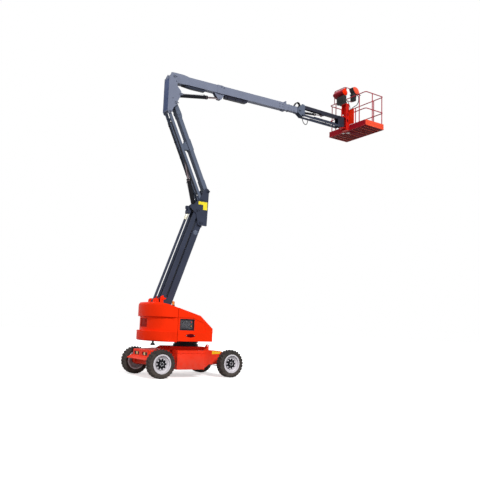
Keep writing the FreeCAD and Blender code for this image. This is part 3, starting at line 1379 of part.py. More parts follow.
bracket_pieces.append(pin("jib_bracket_pin_base", S.jib_pin_x + S.jib_base_x,
                          S.jib_pin_z + S.jib_base_z, S.small_pin, JIB_OUT))
bracket_pieces.append(block("jib_bracket_web", (S.jib_pin_x / 2 - 18, S.jib_pin_x / 2 + 18),
                            (-JIB_IN, JIB_IN),
                            (S.jib_pin_z / 2 - 18, S.jib_pin_z / 2 + 18)))
node("jib_bracket", put(fuse("jib_bracket", bracket_pieces), L_X, 0, L_Z))

J_X = L_X + S.jib_pin_x
J_Z = L_Z + S.jib_pin_z
jib_lugs = []
JIB_FORK = S.jib_width / 2 - S.jib_wall
for side, sign in SIDES:
    span = mirrored(sign, JIB_FORK, JIB_FORK + 12)
    jib_lugs.append(ring("jib_eye_pin_" + side, S.jib_eye_u, -S.jib_eye_v, S.small_pin - 4,
                         *mirrored(sign, JIB_FORK, JIB_FORK + 20)))
    jib_lugs.append(ring("jib_foot_boss_" + side, 0, 0, 42,
                         *mirrored(sign, JIB_FORK, JIB_BOSS)))
    jib_lugs.append(prism("jib_eye_lug_" + side, "XZ", [(
        (S.jib_eye_u - 80, -(S.jib_depth / 2) + 3, 0),
        (S.jib_eye_u + 80, -(S.jib_depth / 2) + 3, 0),
        (S.jib_eye_u + 28, -S.jib_eye_v - 28, 24),
        (S.jib_eye_u - 28, -S.jib_eye_v - 28, 24),
    )], span))
jib_outer = fuse("jib_outer", [
    block("jib_beam", (62, S.jib_length - 30), (-(S.jib_width / 2), S.jib_width / 2),
          (-(S.jib_depth / 2), S.jib_depth / 2)),
    block("jib_foot_cheek", (0, 130), (-(S.jib_width / 2), S.jib_width / 2), (-34, 40)),
])
jib_inner = fuse("jib_inner", [
    block("jib_core", (-60, S.jib_length + 5), (-JIB_FORK, JIB_FORK),
          (-(S.jib_depth / 2) + S.jib_wall, S.jib_depth / 2 - S.jib_wall)),
    block("jib_slot", (-60, S.jib_eye_u + 120), (-JIB_FORK, JIB_FORK),
          (-(S.jib_depth / 2) - 10, 0)),
])
jib_solid = fuse("jib_arm_solid", [
    cut("jib_shell", jib_outer, [jib_inner]),
    pin("jib_head_boss", S.jib_length, 0, S.jib_depth / 2, JIB_BOSS),
] + jib_lugs)
jib_arm = cut("jib_arm", jib_solid, [
    pin("jib_foot_bore", 0, 0, SMALL_BORE, JIB_OUT),
    pin("jib_head_bore", S.jib_length, 0, SMALL_BORE, JIB_OUT),
])
node("jib_arm", put(jib_arm, J_X, 0, J_Z))

jib_link_pieces = []
bar_in = JIB_OUT + 5
bar_out = S.link_inner + S.link_bar
for side, sign in SIDES:
    span = (bar_in, bar_out) if sign > 0 else (-bar_out, -bar_in)
    tag = "jib_link_" + side
    jib_link_pieces.append(block(tag + "_bar", (0, S.jib_length), span,
                                 (-(S.jib_bar / 2), S.jib_bar / 2)))
    jib_link_pieces.append(ring(tag + "_foot", 0, 0, S.jib_bar / 2 + 6, span[0], span[1]))
    jib_link_pieces.append(ring(tag + "_head", S.jib_length, 0, S.jib_bar / 2 + 6,
                                span[0], span[1]))
for i, at in enumerate((1310, 1420)):
    jib_link_pieces.append(block("jib_link_tie%d" % i, (at - 22, at + 22),
                                 (-bar_in - 4, bar_in + 4), (-28, -8)))
jib_link = cut("jib_link", fuse("jib_link_solid", jib_link_pieces), [
    pin("jib_link_foot_bore", 0, 0, SMALL_BORE, bar_out + 20),
    pin("jib_link_head_bore", S.jib_length, 0, SMALL_BORE, bar_out + 20),
])
node("jib_link", put(jib_link, J_X + S.jib_link_x, 0, J_Z + S.jib_link_z))

JIB_BASE = (J_X + S.jib_base_x, J_Z + S.jib_base_z)
JIB_EYE = (J_X + S.jib_eye_u, J_Z - S.jib_eye_v)
jib_aim = aim(JIB_BASE[0], JIB_BASE[1], JIB_EYE[0], JIB_EYE[1])
jib_barrel = barrel_piece("jib_barrel", S.jib_bore, S.jib_barrel, S.jib_rod, 30, SMALL_BORE)
node("jib_barrel", stand(jib_barrel, JIB_BASE[0], JIB_BASE[1], jib_aim))
jib_rod = rod_piece("jib_rod", S.jib_rod, S.jib_rod_length, JIB_FORK - GAP)
node("jib_rod", stand(jib_rod, JIB_EYE[0], JIB_EYE[1], jib_aim))

# Jib head with the rotator's housing, in its own frame at the jib's head pin
H_X = J_X + S.jib_length
ROTATOR_X = H_X + S.rotator_x
FLOOR_Z = J_Z - S.floor_drop
head_low = S.jib_link_z - 10
head_high = 46
head_pieces = [drum("rotator_housing", "Z", (S.rotator_x, 0, head_low),
                    S.rotator_radius, head_high - head_low)]
for side, sign in SIDES:
    span = (JIB_IN, JIB_OUT) if sign > 0 else (-JIB_OUT, -JIB_IN)
    head_pieces.append(prism("jib_head_plate_" + side, "XZ", [(
        (-46, 20, 40),
        (-40, 46, 30),
        (S.rotator_x, 46, 0),
        (S.rotator_x, head_low, 0),
        (60, head_low, 0),
        (30, S.jib_link_z - 40, 20),
        (S.jib_link_x - 40, S.jib_link_z - 40, 36),
        (S.jib_link_x - 46, S.jib_link_z + 20, 30),
    )], span))
    span = (JIB_IN, bar_out + 6) if sign > 0 else (-bar_out - 6, -JIB_IN)
    head_pieces.append(ring("jib_head_stub_" + side, S.jib_link_x, S.jib_link_z,
                            S.small_pin, span[0], span[1]))
head_pieces.append(pin("jib_head_pin", 0, 0, S.small_pin, JIB_OUT + 6))
head_solid = fuse("jib_head_solid", head_pieces)
head_bore = drum("rotator_bore", "Z", (S.rotator_x, 0, head_low - 5), 30 + GAP,
                 head_high - head_low + 10)
node("jib_head", put(cut("jib_head", head_solid, [head_bore]), H_X, 0, J_Z))


# Platform, in its own frame on the rotator's axis at the platform's underside

NEAR = S.platform_near
FAR = S.platform_near + S.platform_depth
SIDE = S.platform_width / 2
FLOOR = S.floor_height
rotator_low = J_Z + head_low - FLOOR_Z
rotator_high = J_Z + head_high - FLOOR_Z
MAST_TOP = S.mast_height
mast_pieces = [
    drum("rotator_shaft", "Z", (0, 0, rotator_low - 20), 30, rotator_high - rotator_low + 40),
]
for level, low in (("foot", rotator_low - 20), ("head", rotator_high + GAP)):
    mast_pieces.append(drum("rotator_plate_" + level, "Z", (0, 0, low), S.rotator_radius,
                            20 - GAP))
    mast_pieces.append(block("rotator_arm_" + level, (0, S.mast_near + 112),
                             (-S.mast_half + 6, S.mast_half - 6), (low, low + 20 - GAP)))
for side, sign in SIDES:
    span = (S.mast_half - 12, S.mast_half) if sign > 0 else (-S.mast_half, -(S.mast_half - 12))
    mast_pieces.append(prism("mast_plate_" + side, "XZ", [
        ((S.mast_near, 0, 0), (S.mast_near, MAST_TOP, 20), (NEAR - GAP, MAST_TOP, 0),
         (NEAR - GAP, 0, 0)),
        ((S.mast_near + 40, 260, 18), (S.mast_near + 40, 380, 18), (S.mast_near + 100, 380, 18),
         (S.mast_near + 100, 260, 18)),
        ((S.mast_near + 40, 470, 18), (S.mast_near + 40, 590, 18), (S.mast_near + 100, 590, 18),
         (S.mast_near + 100, 470, 18)),
    ], span))
mast_pieces.append(block("mast_web", (S.mast_near + 108, S.mast_near + 120),
                         (-S.mast_half, S.mast_half), (0, MAST_TOP)))
mast_pieces.append(block("mast_foot", (S.mast_near, NEAR - GAP), (-S.mast_half, S.mast_half),
                         (0, 12)))
mast_pieces.append(block("mast_head", (S.mast_near, NEAR - GAP), (-S.mast_half, S.mast_half),
                         (MAST_TOP - 12, MAST_TOP)))
node("platform_mast", put(fuse("platform_mast", mast_pieces), ROTATOR_X, 0, FLOOR_Z))

toe = prism("toe_board", "XY", [
    ((NEAR, -SIDE, 30), (NEAR, SIDE, 30), (FAR, SIDE, 30), (FAR, -SIDE, 30)),
    ((NEAR + S.toe_wall, -SIDE + S.toe_wall, 26), (NEAR + S.toe_wall, SIDE - S.toe_wall, 26),
     (FAR - S.toe_wall, SIDE - S.toe_wall, 26), (FAR - S.toe_wall, -SIDE + S.toe_wall, 26)),
], (0, S.toe_height))
floor_plate = block("floor_plate", (NEAR + 2, FAR - 2), (-SIDE + 2, SIDE - 2),
                    (FLOOR - 4, FLOOR))
ribs = []
rib_count = 9
for i in range(rib_count):
    y = -SIDE + S.platform_width * ((i + 1.0) / (rib_count + 1))
    ribs.append(block("floor_rib%d" % i, (NEAR + 2, FAR - 2), (y - 12, y + 12), (2, FLOOR - 2)))
node("platform_floor", put(fuse("platform_floor", [toe, floor_plate] + ribs),
                           ROTATOR_X, 0, FLOOR_Z))

INSET = 22
rail_near = NEAR + INSET
rail_far = FAR - INSET
rail_side = SIDE - INSET
GATE_X = NEAR + 560


def rail_loops():
    """Top rail all round, middle rail open at the gate, posts and the raised hand loop."""
    shapes = []
    for height, gate in ((S.top_rail, False), (S.mid_rail, True)):
        start = (rail_near + 90, rail_side, height)
        points = [
            start, (rail_near, rail_side, height), (rail_near, -rail_side, height),
            (rail_far, -rail_side, height), (rail_far, rail_side, height),
        ]
        if gate:
            points.append((value(GATE_X), rail_side, height))
            points[0] = (rail_near + 91, rail_side, height)
        else:
            points.append((rail_near + 92, rail_side, height))
        shapes.append(pipe_shape(points, S.rail_radius, 70.0))
    posts = (
        (rail_near + 92, rail_side), (GATE_X, rail_side), (rail_far - 60, rail_side),
        (rail_far, 430), (rail_far, -430), (rail_far - 60, -rail_side),
        (rail_near + 300, -rail_side), (rail_near, -560), (rail_near, 560),
    )
    for x, y in posts:
        base = V(value(x), value(y), value(FLOOR))
        height = value(S.top_rail) - value(FLOOR)
        shapes.append(Part.makeCylinder(value(S.rail_radius), height, base))
    loop = [
        (rail_near, 640, S.top_rail), (rail_near, 640, S.top_rail + 460),
        (rail_near, 120, S.top_rail + 460), (rail_near + 350, 120, S.top_rail + 460),
        (rail_near + 350, 120, S.top_rail), (rail_near, 120, S.top_rail),
    ]
    shapes.append(pipe_shape(loop, S.rail_radius - 3, 60.0))
    return shapes[0].multiFuse(shapes[1:])


rails = shape_feature("platform_rails", rail_loops())
node("platform_rails", put(rails, ROTATOR_X, 0, FLOOR_Z))

console = prism("control_console", "XZ", [(
    (NEAR - 150, MAST_TOP + GAP, 0),
    (NEAR - 150, S.top_rail - 50, 0),
    (NEAR + 5, S.top_rail - 14, 0),
    (NEAR + 5, MAST_TOP + GAP, 0),
)], (-60, 560))
node("control_console", put(console, ROTATOR_X, 0, FLOOR_Z))

RAIL_SEAT = S.top_rail + S.rail_radius + GAP
cover_shape = prism("console_cover", "XZ", [(
    (NEAR - 200, S.top_rail - 50 + GAP, 0),
    (NEAR - 175, S.top_rail + 110, 60),
    (NEAR - 40, S.top_rail + 185, 80),
    (NEAR + 110, S.top_rail + 185, 40),
    (NEAR + 130, S.top_rail + 110, 20),
    (NEAR + 80, RAIL_SEAT, 0),
    (NEAR + 5, RAIL_SEAT, 0),
    (NEAR + 5, S.top_rail - 14 + GAP, 0),
    (NEAR - 150, S.top_rail - 50 + GAP, 0),
)], (-40, 600))
node("console_cover", put(cover_shape, ROTATOR_X, 0, FLOOR_Z))

side_cover = prism("side_cover", "XZ", [(
    (rail_near - 70, RAIL_SEAT, 30),
    (rail_near - 60, S.top_rail + 260, 60),
    (rail_near + 90, S.top_rail + 300, 60),
    (rail_near + 190, S.top_rail + 180, 60),
    (rail_near + 170, RAIL_SEAT, 30),
)], (-640, -300))
node("side_cover", put(side_cover, ROTATOR_X, 0, FLOOR_Z))

bar_z = S.mid_rail
BAR_RADIUS = S.rail_radius - 2
bar_end = GATE_X - S.rail_radius - BAR_RADIUS - GAP
entry = shape_feature("entry_bar", pipe_shape([
    (rail_near + 92 + 20, rail_side, bar_z), (bar_end, rail_side, bar_z),
    (bar_end, rail_side, bar_z - 60)], BAR_RADIUS, 30.0))
node("entry_bar", put(entry, ROTATOR_X, 0, FLOOR_Z))


# Check and write

DOC.recompute()
failed = [item for item in DOC.Objects if "Invalid" in item.State or "Error" in item.State]
if failed:
    reasons = ["%s: %s" % (item.Name, item.getStatusString()) for item in failed]
    raise RuntimeError("failed features\n" + "\n".join(reasons))
for label, piece in nodes.items():
    shape = piece.Shape
    if shape.isNull() or not shape.isValid():
        raise RuntimeError("bad shape: " + label)
os.makedirs("parts", exist_ok=True)
for label, piece in nodes.items():
    piece.Shape.exportStep("parts/%s.step" % label)
print("nodes", len(nodes), "solids", sum(len(piece.Shape.Solids) for piece in nodes.values()))
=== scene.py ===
import bpy
import json
import math
from mathutils import Matrix, Vector


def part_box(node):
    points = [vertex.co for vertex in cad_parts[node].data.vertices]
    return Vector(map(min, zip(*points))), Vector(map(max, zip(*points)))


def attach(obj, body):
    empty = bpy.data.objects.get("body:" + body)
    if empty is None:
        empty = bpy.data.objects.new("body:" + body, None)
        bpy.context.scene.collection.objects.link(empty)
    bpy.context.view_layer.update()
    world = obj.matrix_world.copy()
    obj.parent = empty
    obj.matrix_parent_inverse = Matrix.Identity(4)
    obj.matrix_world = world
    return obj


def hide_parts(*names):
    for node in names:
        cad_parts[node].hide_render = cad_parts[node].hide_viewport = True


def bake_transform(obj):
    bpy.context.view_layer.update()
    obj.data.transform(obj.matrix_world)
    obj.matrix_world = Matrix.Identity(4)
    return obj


# An articulating boom lift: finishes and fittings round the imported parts.
# Lengths are metres in the lift's own frame: +X along the boom, +Z up.

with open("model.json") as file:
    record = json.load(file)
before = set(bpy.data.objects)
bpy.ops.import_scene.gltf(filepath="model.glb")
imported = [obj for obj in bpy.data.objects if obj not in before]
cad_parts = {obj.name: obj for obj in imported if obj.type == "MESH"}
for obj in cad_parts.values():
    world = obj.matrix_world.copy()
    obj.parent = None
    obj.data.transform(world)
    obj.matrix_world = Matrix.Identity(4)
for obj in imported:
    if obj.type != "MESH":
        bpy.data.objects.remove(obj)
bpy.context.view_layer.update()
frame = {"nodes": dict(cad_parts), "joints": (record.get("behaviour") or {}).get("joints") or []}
NODES = frame["nodes"]
JOINTS = {joint["name"]: joint for joint in frame["joints"]}


# Places

def spot(name):
    """A joint's place at rest."""
    return Vector(JOINTS[name]["pos_m"])


def run_of(start, along):
    """Frame of a member: X along it in the boom plane, Y to the machine's left."""
    x = Vector(along).normalized()
    y = Vector((0, 1, 0))
    z = x.cross(y)
    turn = Matrix((x, y, z)).transposed().to_4x4()
    return Matrix.Translation(start) @ turn


RISER_RUN = spot("knuckle_pivot") - spot("riser_lift")
UPPER_RUN = spot("upright_pivot") - spot("upper_arm_pivot")
BOOM_AXIS = Vector(JOINTS["boom_extend"]["axis"])
LEVEL = Vector((1, 0, 0))
FOOT = run_of(spot("riser_lift"), LEVEL)
LOWER = run_of(spot("riser_lift"), RISER_RUN)
LOWER_ROD = run_of(spot("lower_rod_pivot"), RISER_RUN)
KNUCKLE = run_of(spot("knuckle_pivot"), LEVEL)
UPPER = run_of(spot("upper_arm_pivot"), UPPER_RUN)
UPPER_LINK = run_of(spot("upper_link_pivot"), UPPER_RUN)
UPRIGHT = run_of(spot("upright_pivot"), LEVEL)
BOOM = run_of(spot("boom_lift"), BOOM_AXIS)
BRACKET = run_of(spot("level_pivot"), LEVEL)
JIB_LINK = run_of(spot("jib_link_pivot"), LEVEL)
HEAD = run_of(spot("jib_head_pivot"), LEVEL)
FLOOR_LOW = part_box("platform_floor")[0]
PLATFORM = Matrix.Translation((spot("platform_rotate").x, 0, FLOOR_LOW.z))
GROUND = Matrix.Identity(4)
LOWER_LENGTH = RISER_RUN.length
UPPER_LENGTH = UPPER_RUN.length
WHEELS = ("front_left", "front_right", "rear_left", "rear_right")
SIDES = (1, -1)


# Modelling helpers

def only(piece):
    """Select one object and make it active."""
    bpy.ops.object.select_all(action="DESELECT")
    piece.select_set(True)
    bpy.context.view_layer.objects.active = piece


def settle(piece):
    """Put a piece's place into its mesh."""
    only(piece)
    bpy.ops.object.transform_apply(location=True, rotation=True, scale=True)
    return piece


def moved(piece, place):
    """Carry a piece from a member's own frame to its place on the machine."""
    piece.matrix_world = place
    return settle(piece)


def round_edges(piece, width, segments=2, sharp=40):
    """Bevel the sharp edges of a piece."""
    only(piece)
    bpy.ops.object.mode_set(mode="EDIT")
    bpy.ops.mesh.select_mode(type="EDGE")
    bpy.ops.mesh.select_all(action="DESELECT")
    bpy.ops.mesh.edges_select_sharp(sharpness=math.radians(sharp))
    bpy.ops.mesh.bevel(offset=width, segments=segments, affect="EDGES", clamp_overlap=True)
    bpy.ops.object.mode_set(mode="OBJECT")
    return piece


def slab(low, high, rounding=0.002):
    """A block between two corners with rounded edges."""
    low, high = Vector(low), Vector(high)
    bpy.ops.object.select_all(action="DESELECT")
    bpy.ops.mesh.primitive_cube_add(size=1, location=(low + high) / 2, scale=high - low)
    piece = settle(bpy.context.object)
    if rounding:
        round_edges(piece, rounding)
    return piece


def bar(start, end, radius, sides=20, rounding=0.001):
    """A round bar between two points."""
    start, end = Vector(start), Vector(end)
    line = end - start
    bpy.ops.object.select_all(action="DESELECT")
    bpy.ops.mesh.primitive_cylinder_add(
        vertices=sides, radius=radius, depth=line.length, location=(start + end) / 2,
        rotation=line.to_track_quat("Z", "Y").to_euler())
    piece = settle(bpy.context.object)
    if rounding:
        round_edges(piece, rounding, 2, 70 if sides > 8 else 40)
    return piece


def sheet_of(points):
    """A flat face through points, made from a circle's vertices."""
    bpy.ops.object.select_all(action="DESELECT")
    bpy.ops.mesh.primitive_circle_add(vertices=len(points), radius=1, fill_type="NGON")
    piece = bpy.context.object
    for vertex, point in zip(piece.data.vertices, points):
        vertex.co = point
    return piece


def face_out(piece):
    """Merge doubles and turn every face outwards."""
    only(piece)
    bpy.ops.object.mode_set(mode="EDIT")
    bpy.ops.mesh.select_mode(type="VERT")
    bpy.ops.mesh.select_all(action="SELECT")
    bpy.ops.mesh.remove_doubles(threshold=0.00002)
    bpy.ops.mesh.normals_make_consistent(inside=False)
    bpy.ops.object.mode_set(mode="OBJECT")
    return piece


def plate(corners, near, far, rounding=0.0):
    """A plate in the boom plane: (x, z) corners between two Y values."""
    piece = sheet_of([(x, near, z) for x, z in corners])
    only(piece)
    bpy.ops.object.mode_set(mode="EDIT")
    bpy.ops.mesh.select_all(action="SELECT")
    bpy.ops.mesh.extrude_region_move(TRANSFORM_OT_translate={"value": (0, far - near, 0)})
    bpy.ops.object.mode_set(mode="OBJECT")
    face_out(piece)
    if rounding:
        round_edges(piece, rounding)
    return piece


def oval(x, z, half_width, half_height, steps=28):
    """Corners of an upright ellipse in the boom plane."""
    turn = 2 * math.pi / steps
    return [(x + half_width * math.cos(turn * i), z + half_height * math.sin(turn * i))
            for i in range(steps)]


def turned(profile, steps=48, angle=360.0):
    """A profile of (y, radius) pairs turned about the Y axis."""
    piece = sheet_of([(0, y, reach) for y, reach in profile])
    only(piece)
    bpy.ops.object.mode_set(mode="EDIT")
    bpy.ops.mesh.select_all(action="SELECT")
    closed = angle >= 360.0
    if closed:
        bpy.ops.mesh.delete(type="ONLY_FACE")
        bpy.ops.mesh.select_all(action="SELECT")
    bpy.ops.mesh.spin(steps=steps, angle=math.radians(angle), center=(0, 0, 0), axis=(0, 1, 0))
    bpy.ops.object.mode_set(mode="OBJECT")
    return face_out(piece)


def copies(master, places):
    """One mesh that holds a copy of the master at each place."""
    made = []
    for place in places:
        twin = master.copy()
        twin.data = master.data.copy()
        bpy.context.scene.collection.objects.link(twin)
        twin.matrix_world = place
        made.append(twin)
    bpy.data.objects.remove(master)
    return joined(made)


def joined(pieces):
    """Join pieces into the first one."""
    bpy.ops.object.select_all(action="DESELECT")
    for piece in pieces:
        piece.select_set(True)
    bpy.context.view_layer.objects.active = pieces[0]
    if len(pieces) > 1:
        bpy.ops.object.join()
    return settle(bpy.context.view_layer.objects.active)


def dress(piece, name, body, material, smooth=35):
    """Name a finished piece, give it its finish and let it ride on its body."""
    piece.name = name
    piece.data.name = name
    piece.data.materials.clear()
    piece.data.materials.append(material)
    if piece.type == "MESH" and smooth:
        only(piece)
        bpy.ops.object.shade_smooth_by_angle(angle=math.radians(smooth))
    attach(piece, body)
    return piece


def hose(points, radius, place=GROUND, detail=3):
    """A held hose or cable: a smooth curve near its route's points."""
    curve = bpy.data.curves.new("hose", "CURVE")
    curve.dimensions = "3D"
    curve.bevel_depth = radius
    curve.bevel_resolution = detail
    curve.resolution_u = 8
    curve.use_fill_caps = True
    spline = curve.splines.new("NURBS")
    spline.points.add(len(points) - 1)
    for knot, point in zip(spline.points, points):
        at = place @ Vector(point)
        knot.co = (at.x, at.y, at.z, 1)
    spline.order_u = 3
    spline.use_endpoint_u = True
    piece = bpy.data.objects.new("hose", curve)
    bpy.context.scene.collection.objects.link(piece)
    only(piece)
    bpy.ops.object.convert(target="MESH")
    return bpy.context.view_layer.objects.active


def bolt_head(size=0.012):
    """A hexagon head on its washer, standing along +Z."""
    head = bar((0, 0, 0.002), (0, 0, 0.002 + size * 0.65), size, 6, size * 0.08)
    washer = bar((0, 0, 0), (0, 0, 0.0025), size * 1.35, 18, 0)
    return joined([head, washer])


def aimed(at, normal):
    """Place of a fitting that stands on a surface."""
    turn = Vector(normal).to_track_quat("Z", "Y").to_matrix().to_4x4()
    return Matrix.Translation(at) @ turn


def bolts(rows, size=0.012, place=GROUND):
    """Bolt heads from rows of (point, normal)."""
    return copies(bolt_head(size), [place @ aimed(at, normal) for at, normal in rows])


# Finishes

def finish(name, colour, roughness, metallic=0.0, coat=0.0, gloss=0.16):
    """A surface with its plain values on the shader's own sockets."""
    material = bpy.data.materials.new(name)
    material.use_nodes = True
    shader = material.node_tree.nodes["Principled BSDF"]
    shader.inputs["Base Color"].default_value = (*colour, 1)
    shader.inputs["Roughness"].default_value = roughness
    shader.inputs["Metallic"].default_value = metallic
    shader.inputs["Coat Weight"].default_value = coat
    shader.inputs["Coat Roughness"].default_value = 0.12
    shader.inputs["Specular IOR Level"].default_value = gloss
    return material


def noise(material, scale, detail=4.0, stretch=(1, 1, 1)):
    """Noise on the piece's own coordinates."""
    tree = material.node_tree
    place = tree.nodes.new("ShaderNodeTexCoord")
    mapping = tree.nodes.new("ShaderNodeMapping")
    mapping.inputs["Scale"].default_value = stretch
    texture = tree.nodes.new("ShaderNodeTexNoise")
    texture.inputs["Scale"].default_value = scale
    texture.inputs["Detail"].default_value = detail
    tree.links.new(place.outputs["Object"], mapping.inputs["Vector"])
    tree.links.new(mapping.outputs["Vector"], texture.inputs["Vector"])
    return texture


def mottle(material, first, second, scale, low=0.35, high=0.65):
    """Blend the base colour between two tones in soft patches."""
    tree = material.node_tree
    texture = noise(material, scale)
    ramp = tree.nodes.new("ShaderNodeValToRGB")
    ramp.color_ramp.elements[0].position = low
    ramp.color_ramp.elements[0].color = (*first, 1)
    ramp.color_ramp.elements[1].position = high
    ramp.color_ramp.elements[1].color = (*second, 1)
    tree.links.new(texture.outputs["Fac"], ramp.inputs["Fac"])
    tree.links.new(ramp.outputs["Color"], tree.nodes["Principled BSDF"].inputs["Base Color"])
    return ramp


def sheen_patches(material, scale, smooth, rough):
    """Roughness that wanders between two values."""
    tree = material.node_tree
    texture = noise(material, scale)
    spread = tree.nodes.new("ShaderNodeMapRange")
    spread.inputs["To Min"].default_value = smooth
    spread.inputs["To Max"].default_value = rough
    tree.links.new(texture.outputs["Fac"], spread.inputs["Value"])
    tree.links.new(spread.outputs["Result"], tree.nodes["Principled BSDF"].inputs["Roughness"])


def grain(material, scale, depth, strength=0.3, stretch=(1, 1, 1)):
    """Fine relief of a coat, a casting or a moulding."""
    tree = material.node_tree
    texture = noise(material, scale, 2.0, stretch)
    bump = tree.nodes.new("ShaderNodeBump")
    bump.inputs["Strength"].default_value = strength
    bump.inputs["Distance"].default_value = depth
    tree.links.new(texture.outputs["Fac"], bump.inputs["Height"])
    tree.links.new(bump.outputs["Normal"], tree.nodes["Principled BSDF"].inputs["Normal"])


def settled_dust(material, dust, low, high, amount=0.5):
    """Dust that thins out with height over the ground."""
    tree = material.node_tree
    shader = tree.nodes["Principled BSDF"]
    place = tree.nodes.new("ShaderNodeTexCoord")
    split = tree.nodes.new("ShaderNodeSeparateXYZ")
    fade = tree.nodes.new("ShaderNodeMapRange")
    fade.inputs["From Min"].default_value = low
    fade.inputs["From Max"].default_value = high
    fade.inputs["To Min"].default_value = amount
    fade.inputs["To Max"].default_value = 0.0
    patch = noise(material, 9.0, 6.0)
    share = tree.nodes.new("ShaderNodeMath")
    share.operation = "MULTIPLY"
    mix = tree.nodes.new("ShaderNodeMix")
    mix.data_type = "RGBA"
    tree.links.new(place.outputs["Object"], split.inputs["Vector"])
    tree.links.new(split.outputs["Z"], fade.inputs["Value"])
    tree.links.new(fade.outputs["Result"], share.inputs[0])
    tree.links.new(patch.outputs["Fac"], share.inputs[1])
    tree.links.new(share.outputs["Value"], mix.inputs["Factor"])
    base = shader.inputs["Base Color"]
    if base.is_linked:
        tree.links.new(base.links[0].from_socket, mix.inputs["A"])
    else:
        mix.inputs["A"].default_value = base.default_value
    mix.inputs["B"].default_value = (*dust, 1)
    tree.links.new(mix.outputs["Result"], base)


def scaled(colour, share):
    return tuple(channel * share for channel in colour)


def paint(name, colour, roughness, coat, spread=0.08, dusty=False, gloss=0.05):
    """Sprayed paint: slight tone patches, orange peel and a wandering gloss."""
    material = finish(name, colour, roughness, 0.0, coat, gloss)
    mottle(material, scaled(colour, 1 - spread), scaled(colour, 1 + spread / 2), 2.2)
    sheen_patches(material, 6.0, roughness - 0.05, roughness + 0.07)
    grain(material, 320.0, 0.0004, 0.25)
    if dusty:
        settled_dust(material, DUST, 0.1, 0.8, 0.35)
    return material


def shade_near_side(material, tone, edge, width=0.006):
    """Painted shade: a deeper tone on the faces that look back at the boom, found by their place."""
    tree = material.node_tree
    base = tree.nodes["Principled BSDF"].inputs["Base Color"]
    place = tree.nodes.new("ShaderNodeTexCoord")
    split = tree.nodes.new("ShaderNodeSeparateXYZ")
    fade = tree.nodes.new("ShaderNodeMapRange")
    fade.inputs["From Min"].default_value = edge
    fade.inputs["From Max"].default_value = edge + width
    fade.inputs["To Min"].default_value = 1.0
    fade.inputs["To Max"].default_value = 0.0
    mix = tree.nodes.new("ShaderNodeMix")
    mix.data_type = "RGBA"
    tree.links.new(place.outputs["Object"], split.inputs["Vector"])
    tree.links.new(split.outputs["X"], fade.inputs["Value"])
    tree.links.new(fade.outputs["Result"], mix.inputs["Factor"])
    tree.links.new(base.links[0].from_socket, mix.inputs["A"])
    mix.inputs["B"].default_value = (*tone, 1)
    tree.links.new(mix.outputs["Result"], base)


def tone_zone(material, tone, edges):
    """Another tone where every axis test holds: ((axis, edge, side), ...)."""
    tree = material.node_tree
    base = tree.nodes["Principled BSDF"].inputs["Base Color"]
    place = tree.nodes.new("ShaderNodeTexCoord")
    split = tree.nodes.new("ShaderNodeSeparateXYZ")
    tree.links.new(place.outputs["Object"], split.inputs["Vector"])
    factor = None
    for axis, edge, side in edges:
        fade = tree.nodes.new("ShaderNodeMapRange")
        fade.inputs["From Min"].default_value = edge - 0.002 * side
        fade.inputs["From Max"].default_value = edge + 0.002 * side
        tree.links.new(split.outputs[axis], fade.inputs["Value"])
        if factor is None:
            factor = fade.outputs["Result"]
            continue
        both = tree.nodes.new("ShaderNodeMath")
        both.operation = "MULTIPLY"
        tree.links.new(factor, both.inputs[0])
        tree.links.new(fade.outputs["Result"], both.inputs[1])
        factor = both.outputs["Value"]
    mix = tree.nodes.new("ShaderNodeMix")
    mix.data_type = "RGBA"
    tree.links.new(factor, mix.inputs["Factor"])
    tree.links.new(base.links[0].from_socket, mix.inputs["A"])
    mix.inputs["B"].default_value = (*tone, 1)
    tree.links.new(mix.outputs["Result"], base)


DUST = (0.33, 0.27, 0.22)
RED = (0.93, 0.030, 0.004)
RED_PAINT = paint("red_paint_coat", RED, 0.42, 0.02, 0.08, True)
RED_FRAME = paint("frame_red", RED, 0.42, 0.02, 0.08)
tone_zone(RED_FRAME, (0.040, 0.048, 0.072), (("X", -0.790, 1), ("Z", 1.800, 1)))
RED_COVER = paint("moulded_red", (0.97, 0.032, 0.004), 0.34, 0.0, 0.05, False, 0.02)
RED_CAST = paint("cast_red_coat", (0.93, 0.030, 0.004), 0.40, 0.0, 0.08, False, 0.02)
RED_DEEP = paint("platform_red", (0.95, 0.095, 0.040), 0.45, 0.0, 0.10)
# Painted shade on the platform's faces at its boom-side edge.
shade_near_side(RED_DEEP, (0.40, 0.010, 0.022), FLOOR_LOW.x + 0.003)
RED_MAST = paint("mast_red", (0.62, 0.016, 0.010), 0.42, 0.02, 0.10)
RED_PAN = paint("pan_red", (0.210, 0.005, 0.014), 0.55, 0.0, 0.14, False, 0.02)
# Painted shade: a darkened copy of the moulded red for the console hood's faces.
RED_HOOD_SHADE = paint("console_shade_red", (0.30, 0.008, 0.018), 0.42, 0.03, 0.12)
RED_SHADE = paint("shroud_red", (0.98, 0.120, 0.060), 0.45, 0.02, 0.06)
BRACKET_BROWN = paint("bracket_brown", (0.120, 0.060, 0.030), 0.50, 0.0, 0.15)
RED_RAIL = paint("rail_red", (0.46, 0.035, 0.062), 0.42, 0.03, 0.10)
# Painted shade: the red darkened for the latch recesses, the floor pan, the floor studs and the hand
# loop flag.
RED_IN_SHADE = paint("red_in_shade", (0.110, 0.002, 0.005), 0.55, 0.0, 0.12, False, 0.02)
# Painted shade: the moulded red darkened for the slats in the rear vent's recess.
VENT_SHADE_RED = paint("vent_shade_red", (0.42, 0.010, 0.003), 0.50, 0.0, 0.10)
BOOM_GREY = paint("boom_grey_coat", (0.215, 0.240, 0.325), 0.42, 0.03, 0.06)
